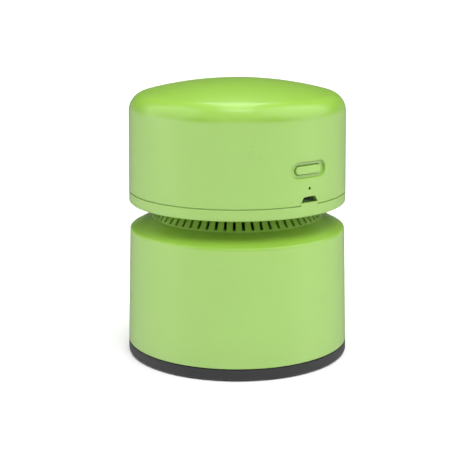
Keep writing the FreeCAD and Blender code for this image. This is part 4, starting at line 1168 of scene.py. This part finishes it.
# Fan wheel: white nylon moulding pressed on the motor shaft, a flat disc with nine blades that
# curve back from the direction of turning, to throw the air out through the slots.
wheel_radius = 23.2
wheel_top = 62.4
disc_bottom = 61.2
blade_bottom = 56.9
blade_top = 61.7
hub_bottom = 57.9
hub_radius = 3.4
shaft_radius = 1.0
blade_count = 9
blade_root = 8.0
blade_tip = 22.5
blade_sweep = 360 * 0.18
blade_bow = 0.33
blade_half = 0.5
fan_white = Finish("fan_white", {"IOR": 1.53, "Subsurface Weight": 0.05, "Subsurface Scale": 0.001})
cloud = fan_white.noise(8, 2)
grain = fan_white.noise(0.4, 2)
fan_white.vary(Base_Color=fan_white.mix(cloud, (0.74, 0.74, 0.71, 1), (0.82, 0.82, 0.8, 1)),
               Roughness=0.34 + grain * 0.1, Normal=fan_white.bump(grain, 0.006))
wheel = Skin()
wheel_profile = rounded([
    (shaft_radius, hub_bottom, 0.1), (hub_radius - 0.3, hub_bottom, 0.4), (hub_radius, disc_bottom, 0.6),
    (wheel_radius - 1.5, disc_bottom, 0), (wheel_radius, disc_bottom, 0.25), (wheel_radius, wheel_top, 0.25),
    (6.0, wheel_top, 0), (5.0, wheel_top, 0), (shaft_radius, wheel_top, 0.1)], 4)
wheel.lathe(wheel_profile, 160)
wheel_disc = wheel.finish("wheel_disc")


def bow_points(count):
    """Points and outward sides of the blade's middle line, an arc through root, middle and tip."""
    places = []
    middle = (blade_root + blade_tip) / 2
    for radius, turn in ((blade_root, 0), (middle, blade_sweep * blade_bow), (blade_tip, blade_sweep)):
        places.append(Vector((radius * math.cos(math.radians(turn)), radius * math.sin(math.radians(turn)))))
    (ax, ay), (bx, by), (cx, cy) = places
    a, b, c = [place.x ** 2 + place.y ** 2 for place in places]
    twice = 2 * (ax * (by - cy) + bx * (cy - ay) + cx * (ay - by))
    x = (a * (by - cy) + b * (cy - ay) + c * (ay - by)) / twice
    y = (a * (cx - bx) + b * (ax - cx) + c * (bx - ax)) / twice
    centre = Vector((x, y))
    start = places[0] - centre
    whole = start.angle_signed(places[2] - centre)
    line = []
    for step in range(count + 1):
        angle = -whole * step / count
        side = Vector((start.x * math.cos(angle) - start.y * math.sin(angle),
                       start.x * math.sin(angle) + start.y * math.cos(angle)))
        line.append((centre + side, side.normalized()))
    return line


blade = Skin()
middle_line = bow_points(20)
near = [point - side * blade_half for point, side in middle_line]
far = [point + side * blade_half for point, side in middle_line]
blade_ring = near + far[::-1]
blade_rows = [[(point.x, point.y, height) for point in blade_ring] for height in (blade_bottom, blade_top)]
blade.strip(blade_rows, closed=True)
for row in blade_rows:
    blade.strip([row[:len(near)], row[len(near):][::-1]])
fan_wheel = repeat_round(blade.finish("blade"), blade_count, 0, "fan_wheel", fan_white)
ease(fan_wheel, 0.2)
join(fan_wheel, wheel_disc)
dress(fan_wheel, "rotor", "fan_white", fan_white, "impeller")


# Motor: a small direct-current motor, a drawn steel can with two magnets, a wound three-pole
# armature, sintered bushes and a moulded end cap, screwed to a round mount above the fan.
def refined(node, name, body, slot, finish, edge=0.0, sharp=35):
    """A solid with its triangles joined, its flat faces whole and its edges eased."""
    mesh = bmesh.new()
    mesh.from_mesh(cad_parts[node].data)
    bmesh.ops.remove_doubles(mesh, verts=mesh.verts, dist=0.002 * mm)
    bmesh.ops.dissolve_limit(mesh, angle_limit=math.radians(0.5), verts=mesh.verts, edges=mesh.edges)
    data = bpy.data.meshes.new(name)
    mesh.to_mesh(data)
    mesh.free()
    piece = new_object(name, data)
    if edge:
        ease(piece, edge)
    smooth(piece.data, sharp)
    dress(piece, body, slot, finish, node)


refined("motor_mount", "motor_bracket", "head", "inner_plastic", inner_plastic, 0.2)

motor_steel = Finish("motor_steel", {"Metallic": 1.0, "Anisotropic": 0.4})
drawn = motor_steel.add("ShaderNodeVectorMath", {"operation": "MULTIPLY"},
                        {0: motor_steel.place, 1: (1, 1, 0.06)})
streak = motor_steel.noise(0.25, 3, drawn)
bloom = motor_steel.noise(5, 3)
motor_steel.vary(Base_Color=motor_steel.mix(bloom, (0.52, 0.52, 0.5, 1), (0.66, 0.66, 0.65, 1)),
                 Roughness=0.24 + streak * 0.16 + bloom * 0.06, Normal=motor_steel.bump(streak, 0.004))
refined("motor_can", "motor_case", "head", "motor_steel", motor_steel, 0.15)
refined("motor_terminals", "motor_tabs", "head", "motor_steel", motor_steel, 0.06)
refined("motor_shaft", "motor_spindle", "rotor", "motor_steel", motor_steel, 0.1)

motor_core = Finish("motor_core", {"Metallic": 0.6, "IOR": 1.6})
level = motor_core.add("ShaderNodeSeparateXYZ", {}, {0: motor_core.place}, "Z")
sheets = motor_core.add("ShaderNodeMath", {"operation": "PINGPONG"}, {0: level, 1: 0.25 * mm}) * (4 / mm)
bloom = motor_core.noise(2, 2)
tone = motor_core.mix(sheets * 0.5 + bloom * 0.5, (0.1, 0.09, 0.09, 1), (0.22, 0.2, 0.19, 1))
motor_core.vary(Base_Color=tone, Roughness=0.42 + bloom * 0.2, Normal=motor_core.bump(sheets, 0.03))
refined("motor_magnets", "motor_field", "head", "motor_core", motor_core, 0.15)
refined("motor_armature", "motor_winding", "rotor", "motor_core", motor_core, 0.12)

brass = Finish("brass", {"Metallic": 1.0})
bloom = brass.noise(1.2, 3)
tone = brass.mix(bloom, (0.62, 0.42, 0.16, 1), (0.78, 0.58, 0.28, 1))
brass.vary(Base_Color=tone, Roughness=0.28 + bloom * 0.16)
refined("motor_bushes", "motor_bearings", "head", "brass", brass, 0.1)
refined("motor_commutator", "motor_collector", "rotor", "brass", brass, 0.1)
refined("motor_end_cap", "motor_cap", "head", "inner_plastic", inner_plastic, 0.2)
screw_copies("motor_fasteners", "head", "motor_screws", shank=1.2, head=2.2, head_height=1.1,
             seat=64.4, tip=67.3, places=[(-8.0, 0), (8.0, 0)])


# Battery: a round lithium cell in a shrink sleeve, its raised end at +X, snapped into a moulded
# cradle behind the motor, with two short screws under it.
cell_sleeve = Finish("cell_sleeve", {"IOR": 1.5, "Coat Weight": 0.4, "Coat Roughness": 0.12})
along = cell_sleeve.add("ShaderNodeSeparateXYZ", {}, {0: cell_sleeve.place}, "X")
reach = cell_sleeve.add("ShaderNodeMath", {"operation": "ABSOLUTE"}, {0: along})
sleeve_end = 23.65
bare = reach > sleeve_end * mm
bloom = cell_sleeve.noise(5, 3)
tone = cell_sleeve.mix(bloom, (0.03, 0.15, 0.36, 1), (0.045, 0.19, 0.44, 1))
cell_sleeve.vary(Base_Color=cell_sleeve.mix(bare, tone, (0.6, 0.6, 0.58, 1)), Metallic=bare,
                 Roughness=0.34 - bare * 0.06 + bloom * 0.08,
                 Normal=cell_sleeve.bump(cell_sleeve.noise(2.5, 2), 0.02))
refined("battery_cell", "power_cell", "head", "cell_sleeve", cell_sleeve, 0.4)
refined("battery_cradle", "cell_saddle", "head", "inner_plastic", inner_plastic, 0.2)
screw_copies("cradle_fasteners", "head", "cradle_screws", shank=0.9, head=1.7, head_height=1.1,
             seat=66.5, tip=61.4, places=[(-23.29, 20.0), (23.29, 20.0)])


# Control board: green laminate with copper tracks under its resist, chips, a click switch, a
# lamp with its light pipe, and the nickel-plated charging socket behind the port.
board_green = Finish("board_green", {"IOR": 1.5, "Coat Weight": 0.6, "Coat Roughness": 0.1})
upright = board_green.add("ShaderNodeVectorRotate", {"rotation_type": "X_AXIS"},
                          {"Vector": board_green.place, "Angle": math.radians(90)})
tracks = board_green.add("ShaderNodeTexBrick", {"offset": 0.5, "squash": 1.0}, {
    "Vector": upright, "Scale": 1 / (2.4 * mm), "Mortar Size": 0.08, "Brick Width": 1.7,
    "Row Height": 0.6}, "Fac")
weave = board_green.noise(0.5, 2)
tone = board_green.mix(weave, (0.012, 0.12, 0.05, 1), (0.02, 0.16, 0.07, 1))
board_green.vary(Base_Color=board_green.mix(tracks, tone, (0.03, 0.26, 0.1, 1)),
                 Roughness=0.32 + weave * 0.12, Normal=board_green.bump(tracks, 0.03))
refined("control_board", "circuit_board", "head", "board_green", board_green, 0.08)

chip_black = Finish("chip_black", {"IOR": 1.5})
grain = chip_black.noise(0.15, 3)
chip_black.vary(Base_Color=chip_black.mix(grain, (0.022, 0.022, 0.024, 1), (0.045, 0.045, 0.048, 1)),
                Roughness=0.5 + grain * 0.2, Normal=chip_black.bump(grain, 0.01))
refined("board_parts", "board_chips", "head", "chip_black", chip_black, 0.12)
refined("tact_switch", "click_switch", "head", "chip_black", chip_black, 0.15)
refined("switch_plunger", "click_plunger", "button", "chip_black", chip_black, 0.1)

socket_steel = Finish("socket_steel", {"Metallic": 0.7})
stain = socket_steel.noise(1.5, 3)
socket_steel.vary(Base_Color=socket_steel.mix(stain, (0.2, 0.27, 0.19, 1), (0.26, 0.34, 0.25, 1)),
                  Roughness=0.36 + stain * 0.14)
refined("usb_socket", "charging_socket", "head", "socket_steel", socket_steel, 0.05)
tongue_grey = Finish("tongue_grey", {"IOR": 1.5})
grain = tongue_grey.noise(0.15, 2)
tongue_grey.vary(Base_Color=tongue_grey.mix(grain, (0.3, 0.4, 0.3, 1), (0.36, 0.46, 0.36, 1)),
                 Roughness=0.4 + grain * 0.15)
refined("usb_tongue", "charging_tongue", "head", "chip_black", tongue_grey, 0.06)

# The light pipe's dark green colour is painted shade: it stands in for the darkness inside the lamp's
# pinhole.
pinhole_shade_plastic = Finish("pinhole_shade_plastic", {"IOR": 1.49, "Specular IOR Level": 0.2})
cloud = pinhole_shade_plastic.noise(1.0, 2)
pinhole_shade_plastic.vary(Base_Color=pinhole_shade_plastic.mix(cloud, (0.008, 0.022, 0.005, 1), (0.012, 0.03, 0.008, 1)),
                   Roughness=0.3 + cloud * 0.1)
refined("light_pipe", "lamp_pipe", "head", "clear_plastic", pinhole_shade_plastic, 0.08)

clear_plastic = Finish("clear_plastic", {"IOR": 1.49, "Transmission Weight": 0.6})
cloud = clear_plastic.noise(1.0, 2)
clear_plastic.vary(Base_Color=clear_plastic.mix(cloud, (0.7, 0.76, 0.68, 1), (0.8, 0.84, 0.78, 1)),
                   Roughness=0.12 + cloud * 0.1)
refined("status_led", "lamp_chip", "head", "clear_plastic", clear_plastic, 0.1)


# Wires: stranded leads in soft black insulation, from the cell round the sides and from the
# motor over the top, soldered to the board.
lead_black = Finish("lead_black", {"IOR": 1.5})
bloom = lead_black.noise(3, 2)
lead_black.vary(Base_Color=lead_black.mix(bloom, (0.02, 0.02, 0.02, 1), (0.036, 0.036, 0.036, 1)),
                Roughness=0.4 + bloom * 0.16, Normal=lead_black.bump(lead_black.noise(0.5, 2), 0.01))
refined("battery_leads", "cell_wires", "head", "lead_black", lead_black)
refined("motor_leads", "motor_wires", "head", "lead_black", lead_black)


# Room: a pale floor that sweeps up into a wall far away, soft lamps from high in front, above
# and both sides, and a sky that is bright in front and dim behind. The camera stands where the
# photograph was taken, half a metre away and a little above, to the left of the button.
camera_side = math.radians(-38.9)
camera_distance = 0.495
camera_height = 0.1621
camera_pitch = math.radians(13.14)
camera_turn = math.radians(0.105)
fill_lights = (("key", 14, 65, 24, 2.0), ("top", 0, 98, 80, 3.3), ("left", -85, 30, 70, 2.3),
               ("right", 82, 38, 70, 2.6))
shine_lights = (("front", 0, 32, 66, 0.7), ("upper", 0, 80, 24, 0.3), ("left shine", -85, 30, 70, 1.0),
                ("right shine", 82, 38, 70, 1.2))
strip_height = math.radians(117)
strip_distance = 0.9
strip_width = 0.28
strip_length = 0.75
strip_power = 1.1
sky_back = 0.2
sky_rise = 1.6
sky_most = 2.15
sky_above = 0.05
sky_fade = (4, 0.3)
floor_shade = 0.56
floor_reach = 6000
sweep_round = 3500


class Sky(Finish):
    """The light that comes from all sides, by direction."""

    def __init__(self):
        world = bpy.data.worlds.new("sky")
        world.use_nodes = True
        bpy.context.scene.world = world
        self.tree = world.node_tree
        self.shader = self.tree.nodes["Background"]
        self.shader.inputs["Color"].default_value = (1, 1, 1, 1)
        self.place = self.add("ShaderNodeTexCoord", {}, {}, "Generated")


def in_front(distance, height):
    """Place on the camera's side of the axis, in metres."""
    return (distance * math.sin(camera_side), -distance * math.cos(camera_side), height)


sky = Sky()
level = sky.add("ShaderNodeSeparateXYZ", {}, {0: sky.place}, "Z")
facing = in_front(1, 0)
front = sky.add("ShaderNodeVectorMath", {"operation": "DOT_PRODUCT"}, {0: sky.place, 1: facing}, "Value")
low_light = sky.math("MINIMUM", sky_back + (1 + front) * sky_rise, sky_most)
share = sky.math("MINIMUM", sky.math("MAXIMUM", level * sky_fade[0] + sky_fade[1], 0), 1)
sky.vary(Strength=low_light * (1 - share) + sky_above * share)
for lights, glossy in ((fill_lights, False), (shine_lights, True)):
    for name, side, height, spread, power in lights:
        light = bpy.data.lights.new(name, "SUN")
        light.energy = power
        light.angle = math.radians(spread)
        lamp = new_object(name, light)
        lamp.rotation_euler = (math.pi / 2 - math.radians(height), 0, camera_side + math.radians(side))
        lamp.visible_glossy = glossy
        lamp.visible_diffuse = not glossy
strip = bpy.data.lights.new("strip", "AREA")
strip.energy = strip_power
strip.shape = "RECTANGLE"
strip.size = strip_width
strip.size_y = strip_length
lamp = new_object("strip", strip)
lamp.location = in_front(strip_distance * math.cos(strip_height),
                         apex * mm + strip_distance * math.sin(strip_height))
lamp.rotation_euler = (math.pi / 2 - strip_height, 0, camera_side)

floor_paint = Finish("floor_paint", {"Specular IOR Level": 0.0, "Roughness": 1.0})
shades = [(shade, shade, shade, 1) for shade in (floor_shade, floor_shade * 1.02)]
floor_paint.vary(Base_Color=floor_paint.mix(floor_paint.noise(400, 2), *shades))
sweep = [(0.001, 0)] + arc((floor_reach, sweep_round), sweep_round, -90, 0, 24)
turns = [2 * math.pi * step / 96 for step in range(96)]
ground = Skin()
ground.strip([[(radius * math.sin(turn), radius * math.cos(turn), height) for turn in turns]
              for radius, height in sweep], closed=True)
floor = ground.finish("floor")
floor.data.materials.append(floor_paint.material)
floor.visible_glossy = False

camera_data = bpy.data.cameras.new("camera")
camera_data.lens = 96.9
camera_data.sensor_width = 36
camera = new_object("camera", camera_data)
camera.location = in_front(camera_distance, camera_height)
camera.rotation_euler = (math.pi / 2 - camera_pitch, 0, camera_side + camera_turn)
bpy.context.scene.camera = camera
bpy.context.scene.view_settings.view_transform = "Standard"
